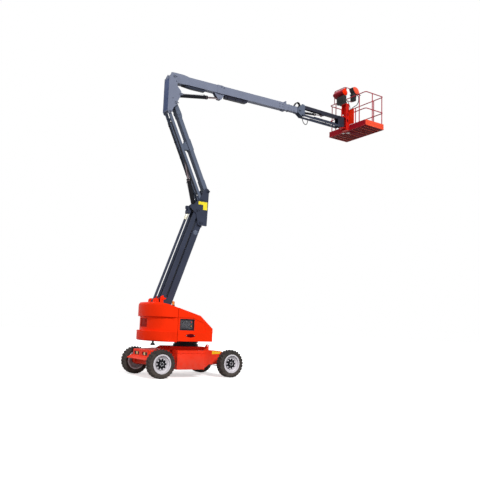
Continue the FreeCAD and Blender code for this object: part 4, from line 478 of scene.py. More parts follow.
# Painted shade, darker towards the bottom: the boom grey darkened to medium for the upper riser and
# jib bracket, and to dark for the lower riser, knuckle, links and their fittings.
UPPER_SHADE_GREY = paint("upper_shade_grey_coat", (0.125, 0.150, 0.210), 0.42, 0.03, 0.08)
# Painted shade: the boom grey darkened for the upright's back face.
BACK_SHADE_GREY = paint("back_shade_grey_coat", (0.085, 0.115, 0.235), 0.45, 0.0, 0.08)
RISER_SHADE_GREY = paint("riser_shade_grey_coat", (0.044, 0.052, 0.082), 0.42, 0.03, 0.10)
# Painted shade: the boom grey darkened to near black for the jib arm, the jib head and the tray under
# the boom.
JIB_SHADE_GREY = paint("jib_shade_grey_coat", (0.030, 0.032, 0.050), 0.42, 0.05, 0.12)
BLACK = paint("black_coat", (0.012, 0.012, 0.016), 0.40, 0.05, 0.2, True)
RIM = paint("rim_coat", (0.66, 0.63, 0.67), 0.38, 0.1, 0.06)
HUB = paint("hub_coat", (0.014, 0.014, 0.018), 0.42, 0.1, 0.3)
PLASTIC = finish("black_moulding", (0.018, 0.018, 0.020), 0.55)
grain(PLASTIC, 600.0, 0.0006, 0.4)
mottle(PLASTIC, (0.014, 0.014, 0.016), (0.028, 0.028, 0.030), 8.0)
RUBBER = finish("tyre_rubber", (0.030, 0.026, 0.024), 0.80)
mottle(RUBBER, (0.020, 0.018, 0.017), (0.052, 0.044, 0.040), 14.0)
grain(RUBBER, 260.0, 0.0008, 0.5)
settled_dust(RUBBER, (0.26, 0.21, 0.18), 0.0, 0.75, 0.32)
HOSE = finish("hose_rubber", (0.020, 0.020, 0.024), 0.50)
mottle(HOSE, (0.014, 0.014, 0.018), (0.040, 0.040, 0.046), 30.0)
grain(HOSE, 900.0, 0.0004, 0.5)
CHROME = finish("plated_rod", (0.17, 0.13, 0.14), 0.22, 1.0)
mottle(CHROME, (0.14, 0.10, 0.11), (0.22, 0.18, 0.19), 18.0)
sheen_patches(CHROME, 40.0, 0.16, 0.30)
ZINC = finish("zinc_plate", (0.62, 0.60, 0.50), 0.34, 0.9)
mottle(ZINC, (0.50, 0.49, 0.42), (0.72, 0.68, 0.52), 60.0)
grain(ZINC, 500.0, 0.0003, 0.4)
STEEL = finish("bare_steel", (0.50, 0.50, 0.52), 0.36, 0.9)
mottle(STEEL, (0.42, 0.42, 0.45), (0.60, 0.60, 0.62), 50.0)
AMBER = finish("amber_lens", (1.0, 0.33, 0.03), 0.16, 0.0, 0.5)
AMBER.node_tree.nodes["Principled BSDF"].inputs["Transmission Weight"].default_value = 0.35
mottle(AMBER, (0.95, 0.28, 0.02), (1.0, 0.42, 0.06), 20.0)
LENS = finish("yellow_lens", (1.0, 0.55, 0.10), 0.14, 0.0, 0.5)
LENS.node_tree.nodes["Principled BSDF"].inputs["Transmission Weight"].default_value = 0.2
mottle(LENS, (0.95, 0.45, 0.08), (1.0, 0.70, 0.25), 30.0)
YELLOW = finish("yellow_film", (0.95, 0.78, 0.02), 0.35, 0.0, 0.2)
mottle(YELLOW, (0.90, 0.72, 0.02), (1.0, 0.84, 0.04), 12.0)
AMBER_FILM = finish("amber_film", (1.0, 0.58, 0.02), 0.35, 0.0, 0.2)
mottle(AMBER_FILM, (0.96, 0.52, 0.02), (1.0, 0.66, 0.04), 12.0)
PALE = finish("pale_moulding", (0.70, 0.70, 0.68), 0.45)
mottle(PALE, (0.62, 0.62, 0.60), (0.78, 0.78, 0.75), 25.0)
PANEL = finish("panel_grey", (0.055, 0.055, 0.065), 0.5)
mottle(PANEL, (0.035, 0.035, 0.042), (0.110, 0.110, 0.125), 34.0)
SIGNAL = finish("signal_red", (0.75, 0.01, 0.01), 0.30, 0.0, 0.3)
mottle(SIGNAL, (0.65, 0.01, 0.01), (0.85, 0.015, 0.01), 40.0)
CELLS = finish("battery_case", (0.050, 0.050, 0.060), 0.6)
mottle(CELLS, (0.035, 0.035, 0.045), (0.07, 0.07, 0.08), 10.0)

COATS = {
    "lower_arm": RISER_SHADE_GREY, "lower_link": RISER_SHADE_GREY, "lower_rod": RISER_SHADE_GREY,
    "knuckle": RISER_SHADE_GREY, "upper_arm": UPPER_SHADE_GREY, "upper_link": UPPER_SHADE_GREY,
    "upright": BOOM_GREY, "main_boom": BOOM_GREY, "boom_extension": BOOM_GREY,
    "jib_bracket": UPPER_SHADE_GREY, "jib_arm": JIB_SHADE_GREY, "jib_link": RISER_SHADE_GREY,
    "jib_head": JIB_SHADE_GREY, "boom_tray": JIB_SHADE_GREY, "riser_barrel": BLACK,
    "lift_barrel": BLACK, "jib_barrel": BLACK, "riser_rod": CHROME, "lift_rod": CHROME,
    "jib_rod": CHROME, "counterweight": RED_CAST, "hood_rear": RED_COVER,
    "cover_left": RED_COVER, "cover_right": RED_COVER, "console_cover": RED_COVER,
    "side_cover": RED_COVER, "control_console": PLASTIC, "ground_controls": PLASTIC,
    "turntable_frame": RED_FRAME,
    "power_pack": BLACK, "beacon_base": PLASTIC, "beacon_lens": AMBER,
    "travel_alarm": PLASTIC, "slew_ring": BLACK, "battery_packs": CELLS,
    "platform_mast": RED_MAST, "platform_floor": RED_DEEP, "platform_rails": RED_RAIL,
    "entry_bar": RED_RAIL, "tie_rod": BLACK, "steering_knuckle_left": BLACK,
    "steering_knuckle_right": BLACK,
}


def coat_nodes():
    """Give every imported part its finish."""
    for name, piece in NODES.items():
        coat = COATS.get(name, RED_PAINT)
        for kind, wheel_coat in (("tyre_", RUBBER), ("rim_", RIM), ("hub_", HUB)):
            if name.startswith(kind):
                coat = wheel_coat
        piece.data.materials.clear()
        piece.data.materials.append(coat)


coat_nodes()


# Wheels

LUG_PAIRS = 26
LUG_SWEEP = 7.2


def tyre_carcass(radius, half):
    """Tyre body with bead, side wall ribs and tread base."""
    return turned((
        (-half + 0.024, 0.229), (-half + 0.020, 0.240), (-half + 0.006, 0.262),
        (-half + 0.003, 0.266), (-half + 0.003, 0.274), (-half + 0.001, 0.280),
        (-half + 0.002, 0.306), (-half + 0.010, radius - 0.030), (-half + 0.026, radius - 0.019),
        (0, radius - 0.017),
        (half - 0.026, radius - 0.019), (half - 0.010, radius - 0.030), (half - 0.002, 0.306),
        (half - 0.001, 0.280), (half - 0.003, 0.274), (half - 0.003, 0.266),
        (half - 0.006, 0.262), (half - 0.020, 0.240), (half - 0.024, 0.229),
    ), 96)


def tread_lug(radius, half):
    """One slanting lug from the middle over the shoulder, on the +Y half."""
    lug = turned((
        (0.006, radius - 0.020), (0.006, radius - 0.001), (half - 0.028, radius),
        (half - 0.008, radius - 0.016), (half - 0.003, radius - 0.036),
        (half - 0.010, radius - 0.040), (half - 0.030, radius - 0.021),
    ), 3, LUG_SWEEP)
    for vertex in lug.data.vertices:
        lean = math.radians(9.0) * (vertex.co.y / half)
        vertex.co = Matrix.Rotation(lean, 3, "Y") @ vertex.co
    return round_edges(lug, 0.0022, 1)


def dressed_tyre(place):
    low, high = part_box("tyre_" + place)
    centre = Matrix.Translation((low + high) / 2)
    radius = (high.z - low.z) / 2
    half = (high.y - low.y) / 2
    carcass = tyre_carcass(radius, half)
    step = 360.0 / LUG_PAIRS
    flip = Matrix.Rotation(math.pi, 4, "X")
    near = [Matrix.Rotation(math.radians(step * i), 4, "Y") for i in range(LUG_PAIRS)]
    far = [Matrix.Rotation(math.radians(step * (i + 0.5)), 4, "Y") @ flip for i in range(LUG_PAIRS)]
    lugs = copies(tread_lug(radius, half), near + far)
    tyre = moved(joined([carcass, lugs]), centre)
    dress(tyre, "dressed_tyre_" + place, "wheel_" + place, RUBBER, 28)
    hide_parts("tyre_" + place)


def wheel_fittings(place):
    """Nuts on the wheel lugs, hub cap bolts and the valve."""
    low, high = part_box("hub_" + place)
    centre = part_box("tyre_" + place)
    middle = (centre[0] + centre[1]) / 2
    out = 1 if middle.y > 0 else -1
    hub_face = high.y if out > 0 else low.y
    rows = []
    for i in range(9):
        angle = math.radians(40.0 * i)
        at = Vector((0.116 * math.cos(angle), 0, 0.116 * math.sin(angle)))
        rows.append(((middle.x + at.x, middle.y + out * 0.058, middle.z + at.z), (0, out, 0)))
    nuts = bolts(rows, 0.013)
    dress(nuts, "wheel_nuts_" + place, "wheel_" + place, HUB)
    cap_rows = []
    for i in range(6):
        angle = math.radians(60.0 * i + 15)
        cap_rows.append(((middle.x + 0.042 * math.cos(angle), hub_face,
                          middle.z + 0.042 * math.sin(angle)), (0, out, 0)))
    caps = bolts(cap_rows, 0.008)
    valve = bar((middle.x, middle.y + out * 0.050, middle.z + 0.185),
                (middle.x, middle.y + out * 0.085, middle.z + 0.178), 0.005, 12)
    dress(joined([caps, valve]), "hub_bolts_" + place, "wheel_" + place, STEEL)


def rim_notches(place):
    """Pale rim metal between the points of the dark hub flange."""
    low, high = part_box("hub_" + place)
    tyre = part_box("tyre_" + place)
    middle = (tyre[0] + tyre[1]) / 2
    out = 1 if middle.y > 0 else -1
    near, far = sorted((out * 0.0585, out * 0.0600))
    wedge = plate(((0.098, 0.0), (0.138, 0.030), (0.1405, 0.0), (0.138, -0.030)), near, far)
    places = [Matrix.Translation(middle) @ Matrix.Rotation(math.radians(40.0 * i + 20), 4, "Y")
              for i in range(9)]
    dress(copies(wedge, places), "rim_notches_" + place, "wheel_" + place, RIM)


for wheel in WHEELS:
    dressed_tyre(wheel)
    wheel_fittings(wheel)
    rim_notches(wheel)


# Pins of the booms

PIN_OUT = 0.156
PIN_ROWS = (
    # name, frame, body, coat, slot, (x, z) places, cap radius, pin's end
    ("turntable", FOOT, "turntable", RED_PAINT, "red_paint",
     ((0, 0), (-0.110, 0.330), (-0.320, 0.255)), 0.040, PIN_OUT),
    ("knuckle", KNUCKLE, "knuckle", RISER_SHADE_GREY, "boom_grey",
     ((0, 0), (-0.110, 0.330), (0.188, 0.904), (0.018, 0.624)), 0.040, PIN_OUT),
    ("upright", UPRIGHT, "upright", BOOM_GREY, "boom_grey",
     ((0, 0), (-0.170, -0.280), (-0.090, 0.735), (0.130, 0.268)), 0.040, PIN_OUT),
    ("jib_bracket", BRACKET, "jib_bracket", UPPER_SHADE_GREY, "boom_grey", ((0, 0),), 0.029, 0.093),
    ("jib_head", HEAD, "jib_head", JIB_SHADE_GREY, "boom_grey", ((0, 0),), 0.029, 0.093),
)


def pin_caps(name, place, body, coat, slot, points, radius, end):
    """A cap, a keeper bar and two bolts on both ends of each pin."""
    pieces = []
    rows = []
    for x, z in points:
        for side in SIDES:
            pieces.append(bar((x, side * end, z), (x, side * (end + 0.005), z), radius, 28))
            near, far = sorted((side * (end - 0.008), side * (end - 0.001)))
            pieces.append(slab((x + radius * 0.4, near, z - 0.016),
                               (x + radius + 0.040, far, z + 0.016), 0.001))
            rows.append(((x + radius + 0.024, side * (end - 0.001), z), (0, side, 0)))
            for lean in (0.5, 2.6, 4.7):
                at = (x + radius * 0.55 * math.cos(lean), side * (end + 0.005),
                      z + radius * 0.55 * math.sin(lean))
                rows.append((at, (0, side, 0)))
    caps = moved(joined(pieces), place)
    dress(caps, name + "_pin_caps", body, coat)
    bolt_coat = coat if coat is RED_PAINT else BLACK
    dress(bolts(rows, 0.0085, place), name + "_pin_bolts", body, bolt_coat)


for row in PIN_ROWS:
    pin_caps(*row)


# Chassis

def tail_lamps():
    """One round lamp over dark backing plates in each slot of the rear frame."""
    lenses = []
    bezels = []
    back = -1.270
    for side in SIDES:
        for middle, width in ((0.165, 0.11), (0.310, 0.13)):
            y = side * middle
            bezels.append(slab((back, y - width / 2, 0.530), (back + 0.030, y + width / 2, 0.606),
                               0.004))
        y = side * 0.225
        lenses.append(bar((back - 0.014, y, 0.568), (back + 0.006, y, 0.568), 0.040, 32, 0.006))
    dress(joined(bezels), "tail_lamp_bezels", "chassis", PLASTIC)
    dress(joined(lenses), "tail_lamp_lenses", "chassis", LENS)


def battery_box_doors():
    """Door panel, lid rib, hinges and latches on each battery box."""
    for side, name in ((1, "left"), (-1, "right")):
        low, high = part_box("battery_box_" + name)
        face = side * 0.745
        lid = side * 0.752
        door = slab((low.x + 0.028, min(face, face + side * 0.005), low.z + 0.018),
                    (high.x - 0.028, max(face, face + side * 0.005), high.z - 0.086), 0.0022)
        rib = slab((low.x + 0.004, min(lid, lid + side * 0.004), high.z - 0.062),
                   (high.x - 0.004, max(lid, lid + side * 0.004), high.z - 0.050), 0.0015)
        dress(joined([door, rib]), "box_door_" + name, "chassis", RED_PAINT)
        fittings = []
        for x in (low.x + 0.10, high.x - 0.10):
            fittings.append(bar((x - 0.035, face + side * 0.006, low.z + 0.020),
                                (x + 0.035, face + side * 0.006, low.z + 0.020), 0.007, 14))
            fittings.append(slab((x - 0.014, min(face, face + side * 0.012), high.z - 0.104),
                                 (x + 0.014, max(face, face + side * 0.012), high.z - 0.060),
                                 0.003))
        dress(joined(fittings), "box_fittings_" + name, "chassis", RED_PAINT)


def ring_bolts():
    """Bolts round one ring of the slew bearing."""
    low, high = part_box("slew_ring")
    rows = []
    for i in range(30):
        angle = math.radians(12.0 * i)
        rows.append(((0.319 * math.cos(angle), 0.319 * math.sin(angle), low.z + 0.0525),
                     (0, 0, 1)))
    dress(bolts(rows, 0.009), "ring_bolts", "chassis", BLACK)


def chassis_labels():
    """Blank warning film on both sides of the front frame."""
    films = []
    for side in SIDES:
        face = side * 0.3002
        near, far = sorted((face, face + side * 0.0012))
        films.append(plate(((0.650, 0.565), (0.650, 0.648), (0.935, 0.634), (0.890, 0.580)),
                           near, far))
    dress(joined(films), "front_frame_films", "chassis", AMBER_FILM)


def chassis_bolts():
    """Bolt heads on the tie-down lugs' webs and the axle flanges."""
    rows = []
    for side in SIDES:
        for z in (0.42, 0.52, 0.62):
            rows.append(((0.30, side * 0.524, z), (0, side, 0)))
        for x in (-1.147, -1.023, 0.863, 0.987):
            rows.append(((x, side * 0.26, 0.290), (0, 0, -1)))
    dress(bolts(rows, 0.012), "chassis_bolts", "chassis", RED_PAINT)


def brake_lines():
    """Hoses from the frame to the drums at each wheel."""
    for end, x in (("front", 0.925), ("rear", -1.085)):
        lines = []
        for side in SIDES:
            lines.append(hose(((x - 0.05, side * 0.20, 0.435), (x - 0.05, side * 0.28, 0.440),
                               (x - 0.06, side * 0.36, 0.442), (x - 0.05, side * 0.43, 0.440)),
                              0.008))
        dress(joined(lines), end + "_axle_lines", "chassis", HOSE, 60)


tail_lamps()
battery_box_doors()
ring_bolts()
chassis_labels()
chassis_bolts()
brake_lines()


# Turntable

HOOD_LOW, HOOD_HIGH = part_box("hood_rear")
COVER_SIDE = 0.850
HOOD_FRONT = HOOD_HIGH.x
HOOD_BACK = HOOD_LOW.x
HOOD_TOP = HOOD_HIGH.z
BAND_LOW = HOOD_LOW.z - 0.035
BAND_HIGH = 1.500
SLOT_SIDE = 0.178
SLOT_BACK = -1.150
SLOPE_START = HOOD_BACK + 0.130
SEAM_TOP = 1.738
ARC_START = HOOD_FRONT - 0.120


def off_slot(co):
    """True for the points outside the arms' slot."""
    return abs(co.y) > SLOT_SIDE + 0.03 or co.x < SLOT_BACK - 0.01


def soft_levels(low, high, back, foot, crown, steps=6):
    """Heights of a band and how far its back is drawn in at each, round at both ends."""
    span = ARC_START - back
    turns = [math.radians(90.0 * i / steps) for i in range(steps + 1)]
    rows = [(low + foot[1] * (1 - math.cos(a)), 1 - foot[0] * (1 - math.sin(a)) / span)
            for a in turns]
    rows += [(high - crown[1] * (1 - math.sin(a)), 1 - crown[0] * (1 - math.cos(a)) / span)
             for a in turns]
    return rows


def pick_points(piece, test):
    """Go to edit mode with only the points that pass a test selected."""
    only(piece)
    bpy.ops.object.mode_set(mode="EDIT")
    bpy.ops.mesh.select_mode(type="VERT")
    bpy.ops.mesh.select_all(action="DESELECT")
    bpy.ops.object.mode_set(mode="OBJECT")
    for corner in piece.data.vertices:
        corner.select = test(corner.co)
    bpy.ops.object.mode_set(mode="EDIT")


def band(back, side, levels, steps=21):
    """One round-backed band of the tail, open in the middle for the arms."""
    plan = [(SLOT_BACK, SLOT_SIDE), (HOOD_FRONT, SLOT_SIDE), (HOOD_FRONT, HOOD_HIGH.y)]
    low, draw = levels[0]
    for i in range(steps + 1):
        turn = math.radians(90.0 * i / steps)
        plan.append((ARC_START + (back - ARC_START) * draw * math.sin(turn),
                     side * math.cos(turn)))
    plan += [(x, -y) for x, y in reversed(plan[:-1])]
    piece = sheet_of([(x, y, low) for x, y in plan])
    for height, scale in levels[1:]:
        pick_points(piece, lambda co: abs(co.z - low) < 1e-5)
        bpy.ops.mesh.extrude_region_move(TRANSFORM_OT_translate={"value": (0, 0, height - low)})
        bpy.ops.object.mode_set(mode="OBJECT")
        pick_points(piece, lambda co: abs(co.z - height) < 1e-5 and co.x < ARC_START - 0.001
                    and off_slot(co))
        bpy.ops.transform.resize(value=(scale / draw, 1, 1),
                                 center_override=(ARC_START, 0, height))
        bpy.ops.object.mode_set(mode="OBJECT")
        low, draw = height, scale
    return face_out(piece)


def rear_hood():
    """Rear hood with a soft crown, a lipped upper band and a recessed vent."""
    crown = band(HOOD_BACK, HOOD_HIGH.y - 0.004,
                 soft_levels(BAND_HIGH, HOOD_TOP, HOOD_BACK, (0.014, 0.012), (0.105, 0.085)))
    fall = Vector((HOOD_FRONT - SLOPE_START, 0, SEAM_TOP - HOOD_TOP))
    only(crown)
    bpy.ops.object.mode_set(mode="EDIT")
    bpy.ops.mesh.select_all(action="SELECT")
    bpy.ops.mesh.bisect(plane_co=(SLOPE_START, 0, HOOD_TOP), plane_no=(-fall.z, 0, fall.x),
                        use_fill=True, clear_outer=True)
    bpy.ops.object.mode_set(mode="OBJECT")
    face_out(crown)
    middle_back = HOOD_BACK + 0.054
    middle = band(middle_back, HOOD_HIGH.y - 0.066,
                  soft_levels(BAND_LOW, BAND_HIGH + 0.004, middle_back, (0, 0.002), (0, 0.002), 1))
    pocket = slab((-0.060, -0.230, -0.110), (0.036, 0.230, 0.110), 0)
    pocket.matrix_world = VENT
    settle(pocket)
    only(middle)
    trim = middle.modifiers.new("vent", "BOOLEAN")
    trim.operation = "DIFFERENCE"
    trim.object = pocket
    bpy.ops.object.modifier_apply(modifier="vent")
    bpy.data.objects.remove(pocket)
    hood = joined([crown, middle])
    dress(hood, "rear_hood", "turntable", RED_COVER, 40)
    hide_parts("hood_rear")


VENT = Matrix.Translation((-1.206, 0.100, 1.340)) @ Matrix.Rotation(math.radians(-2.0), 4, "Z")


def rear_weight():
    """Cast counterweight under the hood with its rounded lower edge."""
    low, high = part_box("counterweight")
    back = low.x + 0.026
    cast = band(back, high.y, soft_levels(low.z - 0.020, BAND_LOW, back, (0.045, 0.040),
                                          (0.016, 0.014)))
    dress(cast, "rear_weight", "turntable", RED_CAST, 40)
    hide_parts("counterweight")


SOFT_NODES = (
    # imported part, edge radius
    ("battery_box_left", 0.008), ("battery_box_right", 0.008), ("power_pack", 0.010),
)


def soften_nodes():
    """Rounded edges on plain packed castings and boxes."""
    for name, radius in SOFT_NODES:
        piece = NODES[name]
        merge = piece.modifiers.new("flat_faces", "DECIMATE")
        merge.decimate_type = "DISSOLVE"
        merge.angle_limit = math.radians(1.0)
        soft = piece.modifiers.new("soft_edges", "BEVEL")
        soft.width = radius
        soft.segments = 4
        soft.limit_method = "ANGLE"
        soft.angle_limit = math.radians(50)
        soft.harden_normals = False


def vent_slats():
    """Slats in the rear vent of the hood, darker red as painted shade in the recess."""
    slats = []
    for i in range(10):
        z = -0.100 + 0.0205 * i
        slats.append(slab((0.020, -0.226, z), (0.034, 0.226, z + 0.012), 0.002))
    dress(moved(joined(slats), VENT), "vent_slats", "turntable", VENT_SHADE_RED)


def window_frame():
    """Dark frame round the control window of the right cover, with its glazing bead."""
    face = -COVER_SIDE
    outer = plate(((-0.640, 1.182), (-0.230, 1.182), (-0.230, 1.468), (-0.640, 1.468)),
                  face + 0.016, face + 0.008, 0)
    only(outer)
    bpy.ops.object.mode_set(mode="EDIT")
    bpy.ops.mesh.select_mode(type="FACE")
    bpy.ops.mesh.select_all(action="DESELECT")
    bpy.ops.object.mode_set(mode="OBJECT")
    for polygon in outer.data.polygons:
        polygon.select = abs(polygon.normal.y) > 0.9
    bpy.ops.object.mode_set(mode="EDIT")
    bpy.ops.mesh.inset(thickness=0.016)
    bpy.ops.mesh.bridge_edge_loops()
    bpy.ops.object.mode_set(mode="OBJECT")
    round_edges(outer, 0.002)
    dress(outer, "window_frame", "cover_right", PLASTIC)


CONTROL_ROWS = (
    # x, z, width, height, finish
    (-0.560, 1.390, 0.018, 0.026, "pale"), (-0.470, 1.390, 0.018, 0.026, "pale"),
    (-0.390, 1.390, 0.018, 0.026, "pale"), (-0.310, 1.390, 0.030, 0.030, "signal"),
    (-0.560, 1.300, 0.018, 0.026, "pale"), (-0.470, 1.300, 0.018, 0.026, "pale"),
    (-0.390, 1.300, 0.018, 0.026, "pale"), (-0.310, 1.290, 0.028, 0.028, "amber"),
)


def control_caps():
    """Caps, toggles and blank plates on the ground control panel."""
    low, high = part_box("ground_controls")
    front = low.y
    sets = {"signal": [], "pale": [], "amber": []}
    for x, z, width, height, kind in CONTROL_ROWS:
        if kind == "pale":
            lever = bar((x, front, z), (x, front - 0.010, z + 0.008), 0.004, 12)
            sets[kind].append(lever)
            sets[kind].append(slab((x - 0.026, front + 0.0105, z - 0.034),
                                   (x + 0.026, front + 0.0125, z - 0.024), 0.0003))
        else:
            sets[kind].append(bar((x, front + 0.001, z), (x, front - 0.009, z), width / 2, 24,
                                  0.003))
    for kind, coat, slot in (("signal", SIGNAL, "red_paint"), ("pale", PALE, "rim_white"),
                             ("amber", AMBER, "amber")):
        dress(joined(sets[kind]), "ground_control_" + kind, "turntable", coat)
    board = [slab((-0.608, front + 0.010, 1.216), (-0.262, front + 0.0116, 1.434), 0.0004)]
    for i in range(9):
        board.append(slab((-0.590 + 0.036 * i, front + 0.0110, 1.232),
                          (-0.572 + 0.036 * i, front + 0.0126, 1.250), 0.0003))
    dress(joined(board), "ground_control_board", "turntable", PANEL)


def cover_latches():
    """Paddle, cup and surround in the long recess of each side cover, in dark red as painted shade.
    """
    for side, name in ((1, "left"), (-1, "right")):
        face = side * (COVER_SIDE - 0.012)
        near, far = sorted((face, face + side * 0.009))
        cup = slab((-0.455, near, 1.034), (-0.210, far, 1.074), 0.004)
        near, far = sorted((side * (COVER_SIDE - 0.002), side * (COVER_SIDE + 0.002)))
        surround = plate(oval(-0.332, 1.054, 0.125, 0.043), near, far, 0.001)
        near, far = sorted((side * COVER_SIDE, side * (COVER_SIDE + 0.007)))
        paddle = plate(oval(-0.350, 1.056, 0.078, 0.020), near, far, 0.003)
        dress(joined([cup, surround, paddle]), "latch_" + name, "cover_" + name,
              RED_IN_SHADE)
        rows = [((x, side * (COVER_SIDE + 0.002), 1.054), (0, side, 0)) for x in (-0.445, -0.222)]
        dress(bolts(rows, 0.006), "latch_screws_" + name, "cover_" + name, STEEL)


def beacon():
    """Ribbed lens rings and collar rings on the beacon."""
    low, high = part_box("beacon_lens")
    middle = (low + high) / 2
    rings = []
    for i in range(4):
        z = low.z + 0.012 + 0.014 * i
        bpy.ops.object.select_all(action="DESELECT")
        bpy.ops.mesh.primitive_torus_add(
            location=(middle.x, middle.y, z), major_radius=0.0345, minor_radius=0.0022,
            major_segments=36, minor_segments=8)
        rings.append(settle(bpy.context.object))
    dress(joined(rings), "beacon_rings", "turntable", AMBER)
    collar = []
    for z in (low.z - 0.080, low.z - 0.040, low.z - 0.006):
        bpy.ops.object.select_all(action="DESELECT")
        bpy.ops.mesh.primitive_torus_add(
            location=(middle.x, middle.y, z), major_radius=0.0415, minor_radius=0.003,
            major_segments=36, minor_segments=8)
        collar.append(settle(bpy.context.object))
    dress(joined(collar), "beacon_collars", "turntable", PLASTIC)


def alarm_grille():
    """Slotted mouth under the travel alarm."""
    low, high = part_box("travel_alarm")
    middle = (low + high) / 2
    bars = []
    for i in range(-3, 4):
        bars.append(slab((middle.x + 0.014 * i - 0.003, middle.y - 0.040, low.z - 0.003),
                         (middle.x + 0.014 * i + 0.003, middle.y + 0.040, low.z + 0.001), 0.001))
    dress(joined(bars), "alarm_grille", "turntable", PLASTIC)


rear_hood()
rear_weight()
soften_nodes()
vent_slats()
window_frame()
control_caps()
cover_latches()
beacon()
alarm_grille()


# Riser arms

def knuckle_films():
    """Blank yellow film in an L on both plates of the middle knuckle."""
    films = []
    for side in SIDES:
        face = side * 0.1482
        near, far = sorted((face, face + side * 0.0012))
        films.append(plate(((-0.078, 0.500), (-0.078, 0.586), (0.200, 0.586), (0.200, 0.365),
                            (0.070, 0.365), (0.070, 0.500)), near, far))
    film = moved(joined(films), KNUCKLE)
    dress(film, "knuckle_films", "knuckle", YELLOW)


def access_rings():
    """Oval access plates near the lower arm's head and the upper arm's head."""
    for name, place, body, u, half_width in (
            ("lower", LOWER, "lower_arm", LOWER_LENGTH - 0.30, 0.092),
            ("upper", UPPER, "upper_arm", UPPER_LENGTH - 0.28, 0.088)):
        pieces = []
        for side in SIDES:
            pieces.append(bar((u, side * (half_width - 0.002), 0),
                              (u, side * (half_width + 0.003), 0), 0.072, 40))
        cover = moved(joined(pieces), place)
        dress(cover, name + "_access_plates", body, UPPER_SHADE_GREY)
        rows = []
        for side in SIDES:
            for i in range(6):
                angle = math.radians(60 * i)
                rows.append(((u + 0.062 * math.cos(angle), side * (half_width + 0.003),
                              0.062 * math.sin(angle)), (0, side, 0)))
        dress(bolts(rows, 0.005, place), name + "_access_screws", body, BLACK)


def rod_fitting():
    """Plated adjuster and lock nuts near the head of the rear rod."""
    top = LOWER_LENGTH
    pieces = [
        bar((top - 0.215, 0, 0), (top - 0.188, 0, 0), 0.046, 6, 0.002),
        bar((top - 0.188, 0, 0), (top - 0.062, 0, 0), 0.0415, 32, 0.002),
        bar((top - 0.150, 0, 0), (top - 0.120, 0, 0), 0.050, 6, 0.002),
    ]
    dress(moved(joined(pieces), LOWER_ROD), "rod_fitting", "lower_rod", ZINC)


def arm_hoses():
    """Hose bundles that run along the inside of both risers."""
    for name, place, body, length, v, ys in (
            ("lower", LOWER, "lower_arm", LOWER_LENGTH, 0.104, (-0.045, -0.015, 0.015, 0.045)),
            ("upper", UPPER_LINK, "upper_link", UPPER_LENGTH, 0.050,
             (-0.096, -0.077, 0.077, 0.096))):
        lines = []
        for i, y in enumerate(ys):
            wave = 0.004 * (1 if i % 2 else -1)
            lines.append(hose(((0.22, y, v), (0.60, y + wave, v + 0.002), (1.05, y, v),
                               (1.50, y - wave, v + 0.003), (1.95, y, v),
                               (length - 0.28, y + wave, v)), 0.0105, place))
        dress(joined(lines), name + "_hoses", body, HOSE, 60)


def link_clamps():
    """Clamps that hold the hoses down."""
    for name, place, body, length, low, high, spans in (
            ("lower", LOWER, "lower_arm", LOWER_LENGTH, 0.089, 0.1165, ((-0.066, 0.066),)),
            ("upper", UPPER_LINK, "upper_link", UPPER_LENGTH, 0.030, 0.0625,
             ((-0.107, -0.064), (0.064, 0.107)))):
        straps = []
        for i in range(5):
            u = 0.36 + i * (length - 0.72) / 4
            for y in spans:
                straps.append(slab((u - 0.014, y[0], high - 0.004), (u + 0.014, y[1], high),
                                   0.001))
                for edge in y:
                    straps.append(slab((u - 0.014, edge - 0.004, low),
                                       (u + 0.014, edge + 0.004, high), 0.001))
        dress(moved(joined(straps), place), name + "_hose_clamps", body, RISER_SHADE_GREY)


knuckle_films()
access_rings()
rod_fitting()
arm_hoses()
link_clamps()


# Cylinders

CYLINDERS = (
    # name, pivot joint, slide joint, barrel length, barrel radius, rod radius
    ("riser", "riser_barrel_pivot", "riser_rod_slide", 0.900, 0.058, 0.028),
    ("lift", "lift_barrel_pivot", "lift_rod_slide", 0.930, 0.050, 0.027),
    ("jib", "jib_barrel_pivot", "jib_rod_slide", 0.565, 0.033, 0.017),
)


